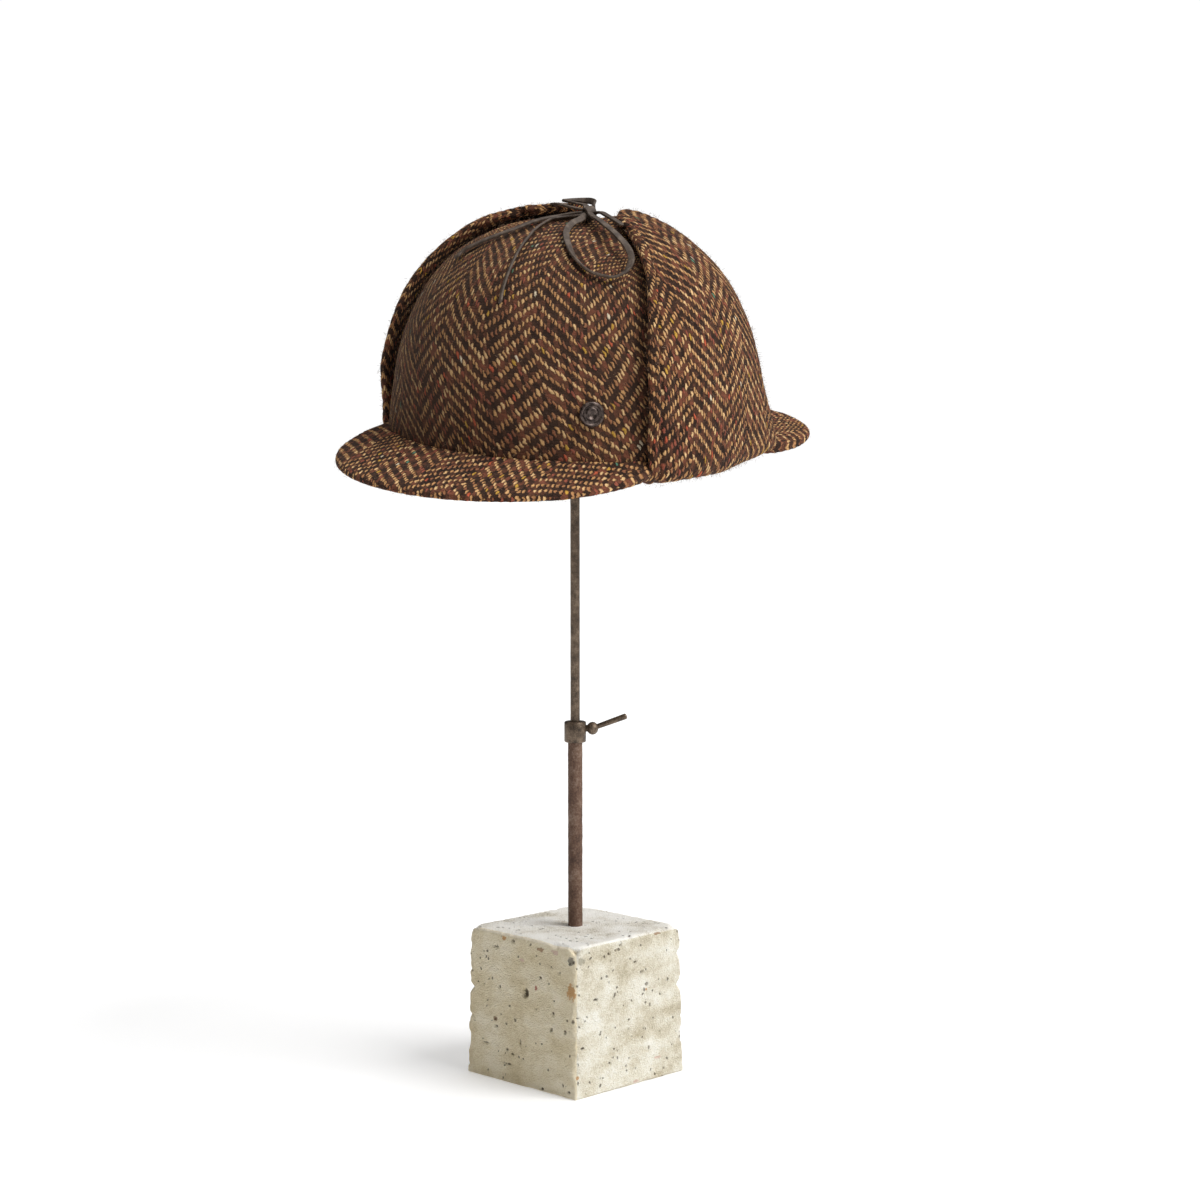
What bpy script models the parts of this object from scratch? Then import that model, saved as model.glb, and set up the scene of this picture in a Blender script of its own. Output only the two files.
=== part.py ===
"""Deerstalker hat with its ear flaps tied up over the crown, on its plain display stand.

Metres, +Z up. The origin is the middle of the stone block's underside. The hat faces -Y, and
the wearer's left side is +X. The hat is shaped upright around the middle of its rim, in its
own frame, and one empty then sets it on the stand with its tilts.
"""

from math import acos, ceil, cos, hypot, pi, radians, sin, sqrt

import bmesh
import bpy
from mathutils import Euler, Matrix, Vector

# Clearance between pieces that touch on the real object
GAP = 0.0003

# Crown, outside of the cloth, from the middle of the rim
CROWN_HALF_LENGTH = 0.1017
CROWN_HALF_WIDTH = 0.0837
CROWN_HEIGHT = 0.105
CROWN_FULLNESS = 2.48
CLOTH_WALL = 0.003
CROWN_SEGMENTS = 48
CROWN_RINGS = 20

# How the hat sits on the stand
RIM_HEIGHT = 0.3291
RIM_SHIFT = -0.0033
FORWARD_TILT = radians(4.9)
SIDE_TILT = radians(7.7)

# Peaks, sewn under the rim in front and behind
PEAK_COLUMNS, PEAK_ROWS = 26, 5
PEAK_THICKNESS = 0.0045
PEAK_EDGE_RADIUS = 0.0016
PEAK_TO_FLAP = 0.0015
FRONT_PEAK_DEPTH = 0.0406
FRONT_PEAK_SLOPE = 0.304
FRONT_PEAK_SIDE_DROP = 0.0025
FRONT_PEAK_ROUNDNESS = 1.0
BACK_PEAK_DEPTH = 0.058
BACK_PEAK_SLOPE = -0.045
BACK_PEAK_SIDE_DROP = 0.004
BACK_PEAK_ROUNDNESS = 0.6

# Ear flaps, folded up against the sides of the crown
FLAP_COLUMN_COUNT, FLAP_ROWS, FLAP_FOLD_ROWS = 16, 22, 4
FLAP_HALF_LENGTH = 0.05
FLAP_THICKNESS = 0.0045
FLAP_PUFF = 0.0018
FLAP_REAR_FLARE = 0.011
FLAP_FRONT_DROP = 0.0092
FLAP_REAR_DROP = 0.0056
FLAP_TUCK = 0.003
FLAP_EDGE_RADIUS = 0.0011
LEFT_FLAP_REACH = radians(78)
RIGHT_FLAP_REACH = radians(83)
FLAP_TIP_SLANT = radians(5)
FLAP_TIP_ROUND = radians(3)

# Sections of a flap from the rim to its tip. Climb is a share of the reach, front and rear are
# shares of the half length, and puff and flare are shares of the puff and of the rear flare.
FLAP_COLUMNS = ("climb", "front", "rear", "puff", "flare")
FLAP_SECTIONS = (
    (0.00, -0.98, 1.17, 1.0, 1.00),
    (0.09, -1.01, 1.14, 1.0, 0.72),
    (0.22, -1.01, 1.08, 1.0, 0.30),
    (0.35, -0.97, 0.98, 1.0, 0.05),
    (0.47, -0.88, 0.86, 1.0, 0.00),
    (0.58, -0.75, 0.74, 0.9, 0.00),
    (0.68, -0.61, 0.63, 0.7, 0.00),
    (0.78, -0.50, 0.53, 0.4, 0.00),
    (0.89, -0.36, 0.42, 0.2, 0.00),
    (1.00, -0.24, 0.30, 0.0, 0.00),
)

# Button sewn low on the crown's left front
BUTTON_DIAMETER = 0.0122
BUTTON_HEIGHT = 0.0024
BUTTON_RIM_WIDTH = 0.0012
BUTTON_RIM_RISE = 0.0006
BUTTON_TURN = radians(43.5)
BUTTON_RISE = radians(12.1)

# Leather thongs and the knot that ties them
THONG_WIDTH = 0.003
THONG_SPACING = 0.005
KNOT_RADIUS = 0.0042
KNOT_X, KNOT_Y, KNOT_LIFT = 0.0098, -0.0104, 0.0048

# Routes over the crown in millimetres: x, y in the hat's frame, and the height above the cloth
LEFT_STRAND = (
    (33.0, -19.6, 7.6), (27.5, -18.6, 7.6), (22.0, -16.2, 7.4), (18.0, -13.6, 7.2),
    (14.6, -11.2, 6.2),
)
FRONT_LOOP = (
    (10.2, -15.4, 4.2), (11.6, -21.3, 3.4), (11.2, -28.2, 2.4), (14.5, -37.5, 2.0),
    (18.6, -43.9, 2.0), (23.3, -48.7, 2.0), (27.1, -51.7, 2.0), (31.2, -53.5, 2.0),
    (37.8, -54.1, 2.2), (43.5, -50.9, 2.6), (47.6, -46.5, 3.4), (49.2, -40.3, 5.0),
    (47.5, -34.6, 6.0), (43.0, -31.0, 6.2), (35.4, -28.2, 6.2), (27.9, -25.5, 6.2),
    (20.2, -20.9, 5.8), (14.1, -16.0, 5.2),
)
FRONT_TAIL = (
    (6.4, -15.0, 3.4), (1.5, -17.5, 2.2), (-1.5, -21.5, 1.9), (-2.0, -28.3, 1.9),
    (0.6, -43.7, 1.9), (2.8, -53.4, 1.9), (4.1, -60.7, 1.9), (6.0, -68.7, 1.9),
    (7.5, -74.5, 1.9), (9.1, -80.3, 1.9), (11.0, -84.8, 1.9),
)
RIGHT_STRAND = (
    (-15.5, -6.0, 7.2), (-10.0, -6.6, 7.2), (-4.5, -7.2, 6.4), (1.0, -7.5, 5.8),
    (5.1, -7.6, 5.6),
)
TOP_LOOP = (
    (9.0, -6.8, 7.8), (6.4, -1.8, 9.2), (2.2, 1.8, 9.4), (-3.0, 4.4, 9.2),
    (-7.6, 4.8, 9.0), (-10.8, 2.0, 8.8), (-10.0, -1.4, 8.6), (-6.0, -2.4, 8.2),
    (-1.5, -3.0, 7.8), (3.2, -4.2, 7.4),
)
SIDE_TAIL = (
    (5.1, -12.1, 4.6), (0.5, -13.9, 3.6), (-4.2, -16.8, 2.4), (-7.3, -23.0, 1.9),
    (-8.4, -32.1, 1.9), (-9.7, -41.1, 1.9), (-13.4, -47.9, 1.9), (-18.7, -52.4, 1.9),
    (-24.2, -55.7, 1.9), (-29.4, -56.9, 1.9), (-31.4, -61.8, 1.9),
)

# Stand: stone block, lower tube, upper rod, clamp and the rest inside the crown
BLOCK_WIDTH = 0.078
BLOCK_TOP_WIDTH = 0.076
BLOCK_HEIGHT = 0.0757
BLOCK_EDGE = 0.0015
BLOCK_TURN = radians(-13)
SOCKET_DEPTH = 0.025
TUBE_DIAMETER = 0.0074
TUBE_TOP = 0.1733
ROD_DIAMETER = 0.0048
ROD_IN_TUBE = 0.04
COLLAR_DIAMETER = 0.0111
COLLAR_HEIGHT = 0.0106
COLLAR_OVERLAP = 0.0028
COLLAR_EDGE = 0.001
CLAMP_TURN = radians(32)
CLAMP_SHANK_DIAMETER = 0.0034
CLAMP_NUT_DIAMETER = 0.0066
CLAMP_LEVER_DIAMETER = 0.003
CLAMP_LEVER_LENGTH = 0.0185
CLAMP_LEVER_RISE = radians(20)
REST_RADIUS = 0.027
REST_THICKNESS = 0.006
REST_SOCKET = 0.003
REST_CLEARANCE = 0.001
ROUND_SIDES = 24
SMALL_SIDES = 12


def clear_scene():
    for old in list(bpy.data.objects):
        bpy.data.objects.remove(old, do_unlink=True)


def make_material(name, colour, roughness, metallic=0.0):
    material = bpy.data.materials.new(name)
    material.use_nodes = True
    shader = material.node_tree.nodes["Principled BSDF"]
    shader.inputs["Base Color"].default_value = (*colour, 1.0)
    shader.inputs["Roughness"].default_value = roughness
    shader.inputs["Metallic"].default_value = metallic
    return material


def new_collection(name):
    collection = bpy.data.collections.new(name)
    bpy.context.scene.collection.children.link(collection)
    return collection


def add_part(name, data, material):
    """A named sub-part in the object's collection."""
    part = bpy.data.objects.new(name, data)
    data.materials.append(material)
    parts.objects.link(part)
    return part


def add_helper(name, mesh):
    """A cutter or a piece that a Boolean joins on: never a sub-part of its own."""
    helper = bpy.data.objects.new(name, mesh)
    helper.hide_render = True
    helper.display_type = "WIRE"
    cutters.objects.link(helper)
    return helper


def mesh_from(bm, name):
    mesh = bpy.data.meshes.new(name)
    bm.to_mesh(mesh)
    bm.free()
    mesh.shade_smooth()
    return mesh


def boolean(part, other, operation):
    modifier = part.modifiers.new(other.name, "BOOLEAN")
    modifier.object = other
    modifier.operation = operation


def solidify(part, thickness, offset):
    modifier = part.modifiers.new("wall", "SOLIDIFY")
    modifier.thickness = thickness
    modifier.offset = offset
    modifier.use_even_offset = True


def round_edges(part, width, segments=1):
    modifier = part.modifiers.new("rounded edge", "BEVEL")
    modifier.width = width
    modifier.segments = segments
    modifier.limit_method = "ANGLE"
    modifier.angle_limit = radians(50)


def turned(name, profile, material, steps=ROUND_SIDES):
    """A turned piece: profile points (radius, height) from the top down the outer side."""
    mesh = bpy.data.meshes.new(name)
    edges = [(i, i + 1) for i in range(len(profile) - 1)]
    if profile[0][0] > 0 and profile[-1][0] > 0:
        edges.append((len(profile) - 1, 0))
    mesh.from_pydata([(radius, 0.0, height) for radius, height in profile], edges, [])
    part = add_part(name, mesh, material)
    screw = part.modifiers.new("turn", "SCREW")
    screw.steps = screw.render_steps = steps
    screw.use_merge_vertices = True
    screw.merge_threshold = 0.00001
    return part


def cylinder_mesh(name, radius, bottom, top, sides=ROUND_SIDES, rounded=0.0):
    """A cylinder on the Z axis from bottom to top, with its top edge rounded if asked."""
    bm = bmesh.new()
    bmesh.ops.create_cone(
        bm, cap_ends=True, segments=sides, radius1=radius, radius2=radius, depth=top - bottom
    )
    bmesh.ops.translate(bm, vec=(0, 0, (top + bottom) / 2), verts=bm.verts)
    if rounded:
        rim = [e for e in bm.edges if all(v.co.z > top - GAP for v in e.verts)]
        bmesh.ops.bevel(
            bm, geom=rim, offset=rounded, segments=2, profile=0.5, affect="EDGES", material=-1
        )
    return mesh_from(bm, name)


def sheet_mesh(name, columns, rows, place):
    """An open grid of columns by rows quads, each point put where place(across, along) says."""
    bm = bmesh.new()
    bmesh.ops.create_grid(bm, x_segments=columns, y_segments=rows, size=0.5)
    for vertex in bm.verts:
        vertex.co = place(vertex.co.x + 0.5, vertex.co.y + 0.5)
    return mesh_from(bm, name)


def crown_normal(point):
    flat = hypot(point.x / CROWN_HALF_WIDTH, point.y / CROWN_HALF_LENGTH)
    side = flat ** (CROWN_FULLNESS - 2) if flat > 0 else 0.0
    up = max(point.z, 0.0) / CROWN_HEIGHT
    return Vector((
        side * point.x / CROWN_HALF_WIDTH**2,
        side * point.y / CROWN_HALF_LENGTH**2,
        up ** (CROWN_FULLNESS - 1) / CROWN_HEIGHT,
    )).normalized()


def crown_point(direction, lift=0.0):
    """The crown's surface along a direction given in shares of its half sizes."""
    flat = hypot(direction.x, direction.y)
    reach = (flat**CROWN_FULLNESS + abs(direction.z) ** CROWN_FULLNESS) ** (-1 / CROWN_FULLNESS)
    point = Vector((
        direction.x * reach * CROWN_HALF_WIDTH,
        direction.y * reach * CROWN_HALF_LENGTH,
        direction.z * reach * CROWN_HEIGHT,
    ))
    return point + crown_normal(point) * lift


def over_crown(x, y, lift):
    """The point above (x, y) at a height over the crown's cloth."""
    flat = hypot(x / CROWN_HALF_WIDTH, y / CROWN_HALF_LENGTH)
    height = CROWN_HEIGHT * (1 - flat**CROWN_FULLNESS) ** (1 / CROWN_FULLNESS)
    point = Vector((x, y, height))
    return point + crown_normal(point) * lift


def rim_point(turn, outward=0.0):
    """A point at the rim, turned from the front toward the wearer's left."""
    point = crown_point(Vector((sin(turn), -cos(turn), 0.0)))
    return point + crown_normal(point) * outward


def smooth_route(route, spacing):
    """Points at an even spacing on a smooth curve through a route's points."""
    ends = [2 * route[0] - route[1], *route, 2 * route[-1] - route[-2]]
    dense = []
    for before, start, stop, after in zip(ends, ends[1:], ends[2:], ends[3:]):
        for step in range(16):
            t = step / 16
            dense.append(0.5 * (
                2 * start + (stop - before) * t
                + (2 * before - 5 * start + 4 * stop - after) * t**2
                + (3 * start - 3 * stop + after - before) * t**3
            ))
    dense.append(route[-1])
    lengths = [0.0]
    for a, b in zip(dense, dense[1:]):
        lengths.append(lengths[-1] + (b - a).length)
    count = max(2, ceil(lengths[-1] / spacing))
    even, k = [], 0
    for i in range(count + 1):
        wanted = lengths[-1] * i / count
        while k < len(dense) - 2 and lengths[k + 1] < wanted:
            k += 1
        share = (wanted - lengths[k]) / (lengths[k + 1] - lengths[k])
        even.append(dense[k].lerp(dense[k + 1], share))
    return even


def seat():
    """The empty that tilts the hat and sets it on the stand."""
    empty = bpy.data.objects.new("hat_seat", None)
    empty.location = (RIM_SHIFT, 0.0, RIM_HEIGHT)
    empty.rotation_euler = (FORWARD_TILT, SIDE_TILT, 0.0)
    parts.objects.link(empty)
    return empty


def on_hat(part):
    part.parent = hat_seat
    return part


def make_crown():
    bm = bmesh.new()
    bmesh.ops.create_uvsphere(bm, u_segments=CROWN_SEGMENTS, v_segments=CROWN_RINGS, radius=1.0)
    bmesh.ops.bisect_plane(
        bm, geom=bm.verts[:] + bm.edges[:] + bm.faces[:], plane_co=(0, 0, 0),
        plane_no=(0, 0, 1), clear_inner=True, dist=0.0001,
    )
    for vertex in bm.verts:
        vertex.co.z = max(vertex.co.z, 0.0)
        vertex.co = crown_point(vertex.co)
    crown = on_hat(add_part("crown", mesh_from(bm, "crown"), tweed))
    solidify(crown, CLOTH_WALL, -1)


def flap_edge_share(column):
    """A flap's front or rear edge at the rim, as a share of the crown's half length."""
    return FLAP_SECTIONS[0][FLAP_COLUMNS.index(column)] * FLAP_HALF_LENGTH / CROWN_HALF_LENGTH


def make_peak(name, facing, depth, slope, side_drop, roundness, flap_share):
    """One peak: its root lies under the crown's wall and its ends stop short of the flaps."""
    end = acos(flap_share) - PEAK_TO_FLAP / CROWN_HALF_WIDTH

    def place(across, along):
        turn = (2 * across - 1) * end
        width = depth * max(cos(pi / 2 * turn / end), 0.0) ** roundness
        outward = -CLOTH_WALL + (CLOTH_WALL + width) * along
        fall = max(outward, 0.0)
        side = side_drop * sin(turn) ** 2 * fall / max(width, CLOTH_WALL)
        point = rim_point(turn * (1 if facing == 0 else -1) + facing, outward)
        point.z = -GAP - PEAK_THICKNESS / 2 - slope * fall - side
        return point

    peak = on_hat(add_part(name, sheet_mesh(name, PEAK_COLUMNS, PEAK_ROWS, place), tweed))
    solidify(peak, PEAK_THICKNESS, 0)
    round_edges(peak, PEAK_EDGE_RADIUS)


def flap_section(climb):
    """Every column of the flap's table at a climb between two of its sections."""
    for lower, upper in zip(FLAP_SECTIONS, FLAP_SECTIONS[1:]):
        if climb <= upper[0]:
            t = (climb - lower[0]) / (upper[0] - lower[0])
            return {c: a + (b - a) * t for c, a, b in zip(FLAP_COLUMNS, lower, upper)}
    return dict(zip(FLAP_COLUMNS, FLAP_SECTIONS[-1]))


def make_flap(name, side, reach):
    """One flap: from under the rim, round the fold at its foot and up the side of the crown."""

    def place(across, along):
        row = along * FLAP_ROWS
        climb = max(row - FLAP_FOLD_ROWS, 0) / (FLAP_ROWS - FLAP_FOLD_ROWS)
        section = flap_section(climb)
        edge = section["front"] + (section["rear"] - section["front"]) * across
        share = edge * FLAP_HALF_LENGTH / CROWN_HALF_LENGTH
        rear = max(2 * across - 1, 0.0)
        flare = FLAP_REAR_FLARE * section["flare"] * rear**2
        lift = GAP + FLAP_THICKNESS / 2 + FLAP_PUFF * section["puff"] + flare
        lean = (2 * across - 1) * FLAP_TIP_SLANT * climb**2
        arch = reach * climb + lean - FLAP_TIP_ROUND * climb**6 * (2 * across - 1) ** 4
        flat = sqrt(1 - share**2)
        if row > FLAP_FOLD_ROWS:
            point = crown_point(Vector((flat * cos(arch), share, flat * sin(arch))), lift)
        else:
            point = fold_point(Vector((flat, share, 0.0)), row / FLAP_FOLD_ROWS, across, lift)
        point.x *= side
        return point

    flap = on_hat(add_part(name, sheet_mesh(name, FLAP_COLUMN_COUNT, FLAP_ROWS, place), tweed))
    solidify(flap, FLAP_THICKNESS, 0)
    round_edges(flap, FLAP_EDGE_RADIUS)


def fold_point(direction, share, across, lift):
    """The fold at a flap's foot: 0 is the end tucked under the rim, 1 is level with the rim."""
    drop = FLAP_FRONT_DROP + (FLAP_REAR_DROP - FLAP_FRONT_DROP) * across - FLAP_THICKNESS / 2
    rim = crown_point(direction)
    normal = crown_normal(rim)
    angle = (1 - share) * (pi / 2) * 4 / 3
    tuck = 0.0
    if angle > pi / 2:
        tuck = FLAP_TUCK
        angle = pi / 2
    return rim + normal * (lift * cos(angle) - tuck) - Vector((0, 0, drop * sin(angle)))


def make_button():
    radius, rise = BUTTON_DIAMETER / 2, BUTTON_RIM_RISE
    inner = radius - BUTTON_RIM_WIDTH
    top = BUTTON_HEIGHT
    profile = (
        (0.0, top - rise), (inner - rise, top - rise), (inner, top), (radius - rise, top),
        (radius, top - rise), (radius, rise), (radius - rise, 0.0), (0.0, 0.0),
    )
    button = on_hat(turned("button", profile, bronze))
    flat = cos(BUTTON_RISE)
    direction = Vector((flat * sin(BUTTON_TURN), -flat * cos(BUTTON_TURN), sin(BUTTON_RISE)))
    seat_lift = GAP + radius**2 / (2 * CROWN_HALF_WIDTH)
    button.location = crown_point(direction, seat_lift)
    button.rotation_euler = crown_normal(crown_point(direction)).to_track_quat("Z", "Y").to_euler()


def make_thong(name, route):
    """One stretch of a thong: a tube as wide as the leather, along its route over the crown."""
    points = [over_crown(x / 1000, y / 1000, lift / 1000) for x, y, lift in route]
    curve = bpy.data.curves.new(name, "CURVE")
    curve.dimensions = "3D"
    curve.bevel_depth = THONG_WIDTH / 2
    curve.bevel_resolution = 2
    curve.use_fill_caps = True
    spline = curve.splines.new("POLY")
    path = smooth_route(points, THONG_SPACING)
    spline.points.add(len(path) - 1)
    for point, place in zip(spline.points, path):
        point.co = (*place, 1.0)
    on_hat(add_part(name, curve, leather))


def make_knot():
    bm = bmesh.new()
    bmesh.ops.create_uvsphere(bm, u_segments=16, v_segments=10, radius=KNOT_RADIUS)
    knot = on_hat(add_part("tie_knot", mesh_from(bm, "tie_knot"), leather))
    knot.location = over_crown(KNOT_X, KNOT_Y, KNOT_LIFT)


def make_block():
    bm = bmesh.new()
    bmesh.ops.create_cube(bm, size=1.0)
    for vertex in bm.verts:
        width = BLOCK_TOP_WIDTH if vertex.co.z > 0 else BLOCK_WIDTH
        vertex.co = (vertex.co.x * width, vertex.co.y * width, (vertex.co.z + 0.5) * BLOCK_HEIGHT)
    block = add_part("stone_block", mesh_from(bm, "stone_block"), stone)
    block.data.shade_flat()
    block.rotation_euler = (0, 0, BLOCK_TURN)
    round_edges(block, BLOCK_EDGE, 2)
    hole = cylinder_mesh(
        "block_hole", TUBE_DIAMETER / 2 + GAP, BLOCK_HEIGHT - SOCKET_DEPTH, BLOCK_HEIGHT + 0.01
    )
    boolean(block, add_helper("block_hole", hole), "DIFFERENCE")


def make_lower_tube():
    outer, bore = TUBE_DIAMETER / 2, ROD_DIAMETER / 2 + GAP
    foot = BLOCK_HEIGHT - SOCKET_DEPTH + GAP
    turned("lower_tube", ((bore, TUBE_TOP), (outer, TUBE_TOP), (outer, foot), (bore, foot)), iron)


def make_upper_rod(top):
    bottom = TUBE_TOP - ROD_IN_TUBE
    rod = cylinder_mesh("upper_rod", ROD_DIAMETER / 2, bottom, top)
    add_part("upper_rod", rod, bronze)


def make_collar():
    """The collar: a counterbore takes the top of the tube, and its bore takes the rod."""
    outer, edge = COLLAR_DIAMETER / 2, COLLAR_EDGE
    bore, wide_bore = ROD_DIAMETER / 2 + GAP, TUBE_DIAMETER / 2 + GAP
    bottom = TUBE_TOP - COLLAR_OVERLAP
    top = bottom + COLLAR_HEIGHT
    step = TUBE_TOP + GAP
    profile = (
        (bore, top), (outer - edge, top), (outer, top - edge), (outer, bottom + edge),
        (outer - edge, bottom), (wide_bore, bottom), (wide_bore, step), (bore, step),
    )
    collar = turned("clamp_collar", profile, bronze)
    hole = cylinder_mesh(
        "collar_hole", CLAMP_SHANK_DIAMETER / 2 + GAP, 0.0, COLLAR_DIAMETER, sides=SMALL_SIDES
    )
    cutter = add_helper("collar_hole", hole)
    cutter.matrix_world = clamp_axis()
    boolean(collar, cutter, "DIFFERENCE")


def clamp_axis():
    """The frame of the clamp screw: its Z axis runs outward from the rod's middle."""
    height = TUBE_TOP + GAP + (COLLAR_HEIGHT - COLLAR_OVERLAP) / 2
    turn = Euler((0, pi / 2, CLAMP_TURN)).to_matrix().to_4x4()
    return Matrix.Translation((0, 0, height)) @ turn


def make_clamp_screw():
    """The screw: a round nut, a shank through the collar and a lever that rises outward."""
    nut_radius = CLAMP_NUT_DIAMETER / 2
    nut_middle = COLLAR_DIAMETER / 2 + GAP + nut_radius * 0.9
    bm = bmesh.new()
    bmesh.ops.create_uvsphere(bm, u_segments=16, v_segments=10, radius=nut_radius)
    bmesh.ops.scale(bm, vec=(1, 1, 0.9), verts=bm.verts)
    bmesh.ops.translate(bm, vec=(0, 0, nut_middle), verts=bm.verts)
    screw = add_part("clamp_screw", mesh_from(bm, "clamp_screw"), bronze)
    screw.matrix_world = clamp_axis()
    start = ROD_DIAMETER / 2 + GAP
    shank = cylinder_mesh("shank", CLAMP_SHANK_DIAMETER / 2, start, nut_middle, sides=SMALL_SIDES)
    shank_helper = add_helper("clamp_shank", shank)
    shank_helper.matrix_world = clamp_axis()
    boolean(screw, shank_helper, "UNION")
    lever = cylinder_mesh(
        "lever", CLAMP_LEVER_DIAMETER / 2, 0.0, CLAMP_LEVER_LENGTH, sides=SMALL_SIDES,
        rounded=CLAMP_LEVER_DIAMETER / 5,
    )
    lever_helper = add_helper("clamp_lever", lever)
    lift = Matrix.Translation((0, 0, nut_middle)) @ Matrix.Rotation(-CLAMP_LEVER_RISE, 4, "Y")
    lever_helper.matrix_world = clamp_axis() @ lift
    boolean(screw, lever_helper, "UNION")


def make_rest():
    """The domed disc inside the crown. It returns the height of the rod's top in its socket."""
    tilt = Euler((FORWARD_TILT, SIDE_TILT, 0.0)).to_matrix().to_4x4()
    to_hat = (Matrix.Translation((RIM_SHIFT, 0, RIM_HEIGHT)) @ tilt).inverted()
    middle = to_hat @ Vector((0, 0, RIM_HEIGHT + CROWN_HEIGHT - CLOTH_WALL - REST_THICKNESS))
    under_cloth = -CLOTH_WALL - REST_CLEARANCE
    bm = bmesh.new()
    bmesh.ops.create_circle(
        bm, cap_ends=True, cap_tris=True, segments=ROUND_SIDES, radius=REST_RADIUS
    )
    spokes = [e for e in bm.edges if any(v.co.length < GAP for v in e.verts)]
    bmesh.ops.subdivide_edges(bm, edges=spokes, cuts=2)
    for vertex in bm.verts:
        vertex.co = over_crown(middle.x + vertex.co.x, middle.y + vertex.co.y, under_cloth)
    rest = on_hat(add_part("hat_rest", mesh_from(bm, "hat_rest"), iron))
    solidify(rest, REST_THICKNESS, -1)
    underside = over_crown(middle.x, middle.y, under_cloth - REST_THICKNESS)
    socket_top = (to_hat.inverted() @ underside).z + REST_SOCKET
    socket = cylinder_mesh(
        "rest_socket", ROD_DIAMETER / 2 + GAP, socket_top - 4 * REST_SOCKET, socket_top
    )
    boolean(rest, add_helper("rest_socket", socket), "DIFFERENCE")
    return socket_top - GAP


clear_scene()
parts = new_collection("deerstalker_hat_on_stand")
cutters = new_collection("cutters")
tweed = make_material("tweed", (0.16, 0.075, 0.035), 0.95)
leather = make_material("thong_leather", (0.045, 0.033, 0.026), 0.6)
bronze = make_material("aged_bronze", (0.11, 0.075, 0.05), 0.45, 0.8)
iron = make_material("rusted_iron", (0.13, 0.065, 0.04), 0.7, 0.6)
stone = make_material("cast_stone", (0.62, 0.58, 0.50), 0.9)
hat_seat = seat()

make_crown()
make_peak(
    "front_peak", 0.0, FRONT_PEAK_DEPTH, FRONT_PEAK_SLOPE, FRONT_PEAK_SIDE_DROP,
    FRONT_PEAK_ROUNDNESS, -flap_edge_share("front"),
)
make_peak(
    "back_peak", pi, BACK_PEAK_DEPTH, BACK_PEAK_SLOPE, BACK_PEAK_SIDE_DROP,
    BACK_PEAK_ROUNDNESS, flap_edge_share("rear"),
)
make_flap("left_flap", 1, LEFT_FLAP_REACH)
make_flap("right_flap", -1, RIGHT_FLAP_REACH)
make_button()
make_thong("left_thong", LEFT_STRAND)
make_thong("front_loop", FRONT_LOOP)
make_thong("front_tail", FRONT_TAIL)
make_thong("right_thong", RIGHT_STRAND)
make_thong("top_loop", TOP_LOOP)
make_thong("side_tail", SIDE_TAIL)
make_knot()
make_block()
make_lower_tube()
make_collar()
make_clamp_screw()
make_upper_rod(make_rest())
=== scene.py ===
"""Deerstalker hat on its display stand: its looks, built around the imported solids.

Metres, +Z up, in the same frame as the solids. The hat's pieces are shaped in the hat's own
upright frame, with the middle of its rim at the origin, and then set on the stand.
"""

from math import cos, pi, radians, sin

import bmesh
import bpy
import numpy as np
from mathutils import Euler, Matrix, Vector, noise


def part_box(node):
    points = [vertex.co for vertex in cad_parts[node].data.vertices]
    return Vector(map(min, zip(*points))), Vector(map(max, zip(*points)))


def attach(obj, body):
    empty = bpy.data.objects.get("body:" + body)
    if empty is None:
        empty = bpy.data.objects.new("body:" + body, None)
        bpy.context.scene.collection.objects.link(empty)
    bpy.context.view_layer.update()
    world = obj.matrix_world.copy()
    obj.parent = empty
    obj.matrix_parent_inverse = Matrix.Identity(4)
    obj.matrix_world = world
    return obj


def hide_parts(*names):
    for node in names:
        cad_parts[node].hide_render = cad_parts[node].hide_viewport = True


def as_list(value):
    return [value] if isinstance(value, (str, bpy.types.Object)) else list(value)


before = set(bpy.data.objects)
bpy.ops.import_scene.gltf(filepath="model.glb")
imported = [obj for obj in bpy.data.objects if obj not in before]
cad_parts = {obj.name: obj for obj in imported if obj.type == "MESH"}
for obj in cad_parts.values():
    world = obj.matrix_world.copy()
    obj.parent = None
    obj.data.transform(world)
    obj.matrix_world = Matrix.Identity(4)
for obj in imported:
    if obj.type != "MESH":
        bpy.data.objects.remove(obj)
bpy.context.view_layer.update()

# Camera, at the photograph's viewing angle: 32 degrees round from the front to the wearer's left,
# a little above the rim of the hat and looking slightly down.
CAMERA_PLACE = Vector((0.6688, -1.0702, 0.3439))
CAMERA_AIM = Vector((0.0107, 0.0067, 0.2429))
camera = bpy.data.objects.new("camera", bpy.data.cameras.new("camera"))
camera.data.lens = 75.0
camera.data.sensor_width = 36.0
camera.location = CAMERA_PLACE
camera.rotation_euler = (CAMERA_AIM - CAMERA_PLACE).to_track_quat("-Z", "Y").to_euler()
bpy.context.scene.collection.objects.link(camera)
bpy.context.scene.camera = camera

# Studio: a plain white floor and surround, a broad light from high on the camera's right and a
# weaker one from above. The surround shows white and lights the object only a little.
CAMERA_TURN = radians(32)
PICTURE_RIGHT = Vector((cos(CAMERA_TURN), sin(CAMERA_TURN), 0))
TOWARD_CAMERA = Vector((sin(CAMERA_TURN), -cos(CAMERA_TURN), 0))
SURROUND_SEEN, SURROUND_LIGHT = 0.90, 0.12
bpy.context.scene.view_settings.view_transform = "Standard"
world = bpy.data.worlds.new("surround")
world.use_nodes = True
surround = world.node_tree
seen = surround.nodes.new("ShaderNodeLightPath").outputs["Is Camera Ray"]
strength = surround.nodes.new("ShaderNodeMath")
strength.operation = "MULTIPLY_ADD"
surround.links.new(seen, strength.inputs[0])
strength.inputs[1].default_value = SURROUND_SEEN
strength.inputs[2].default_value = SURROUND_LIGHT
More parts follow.
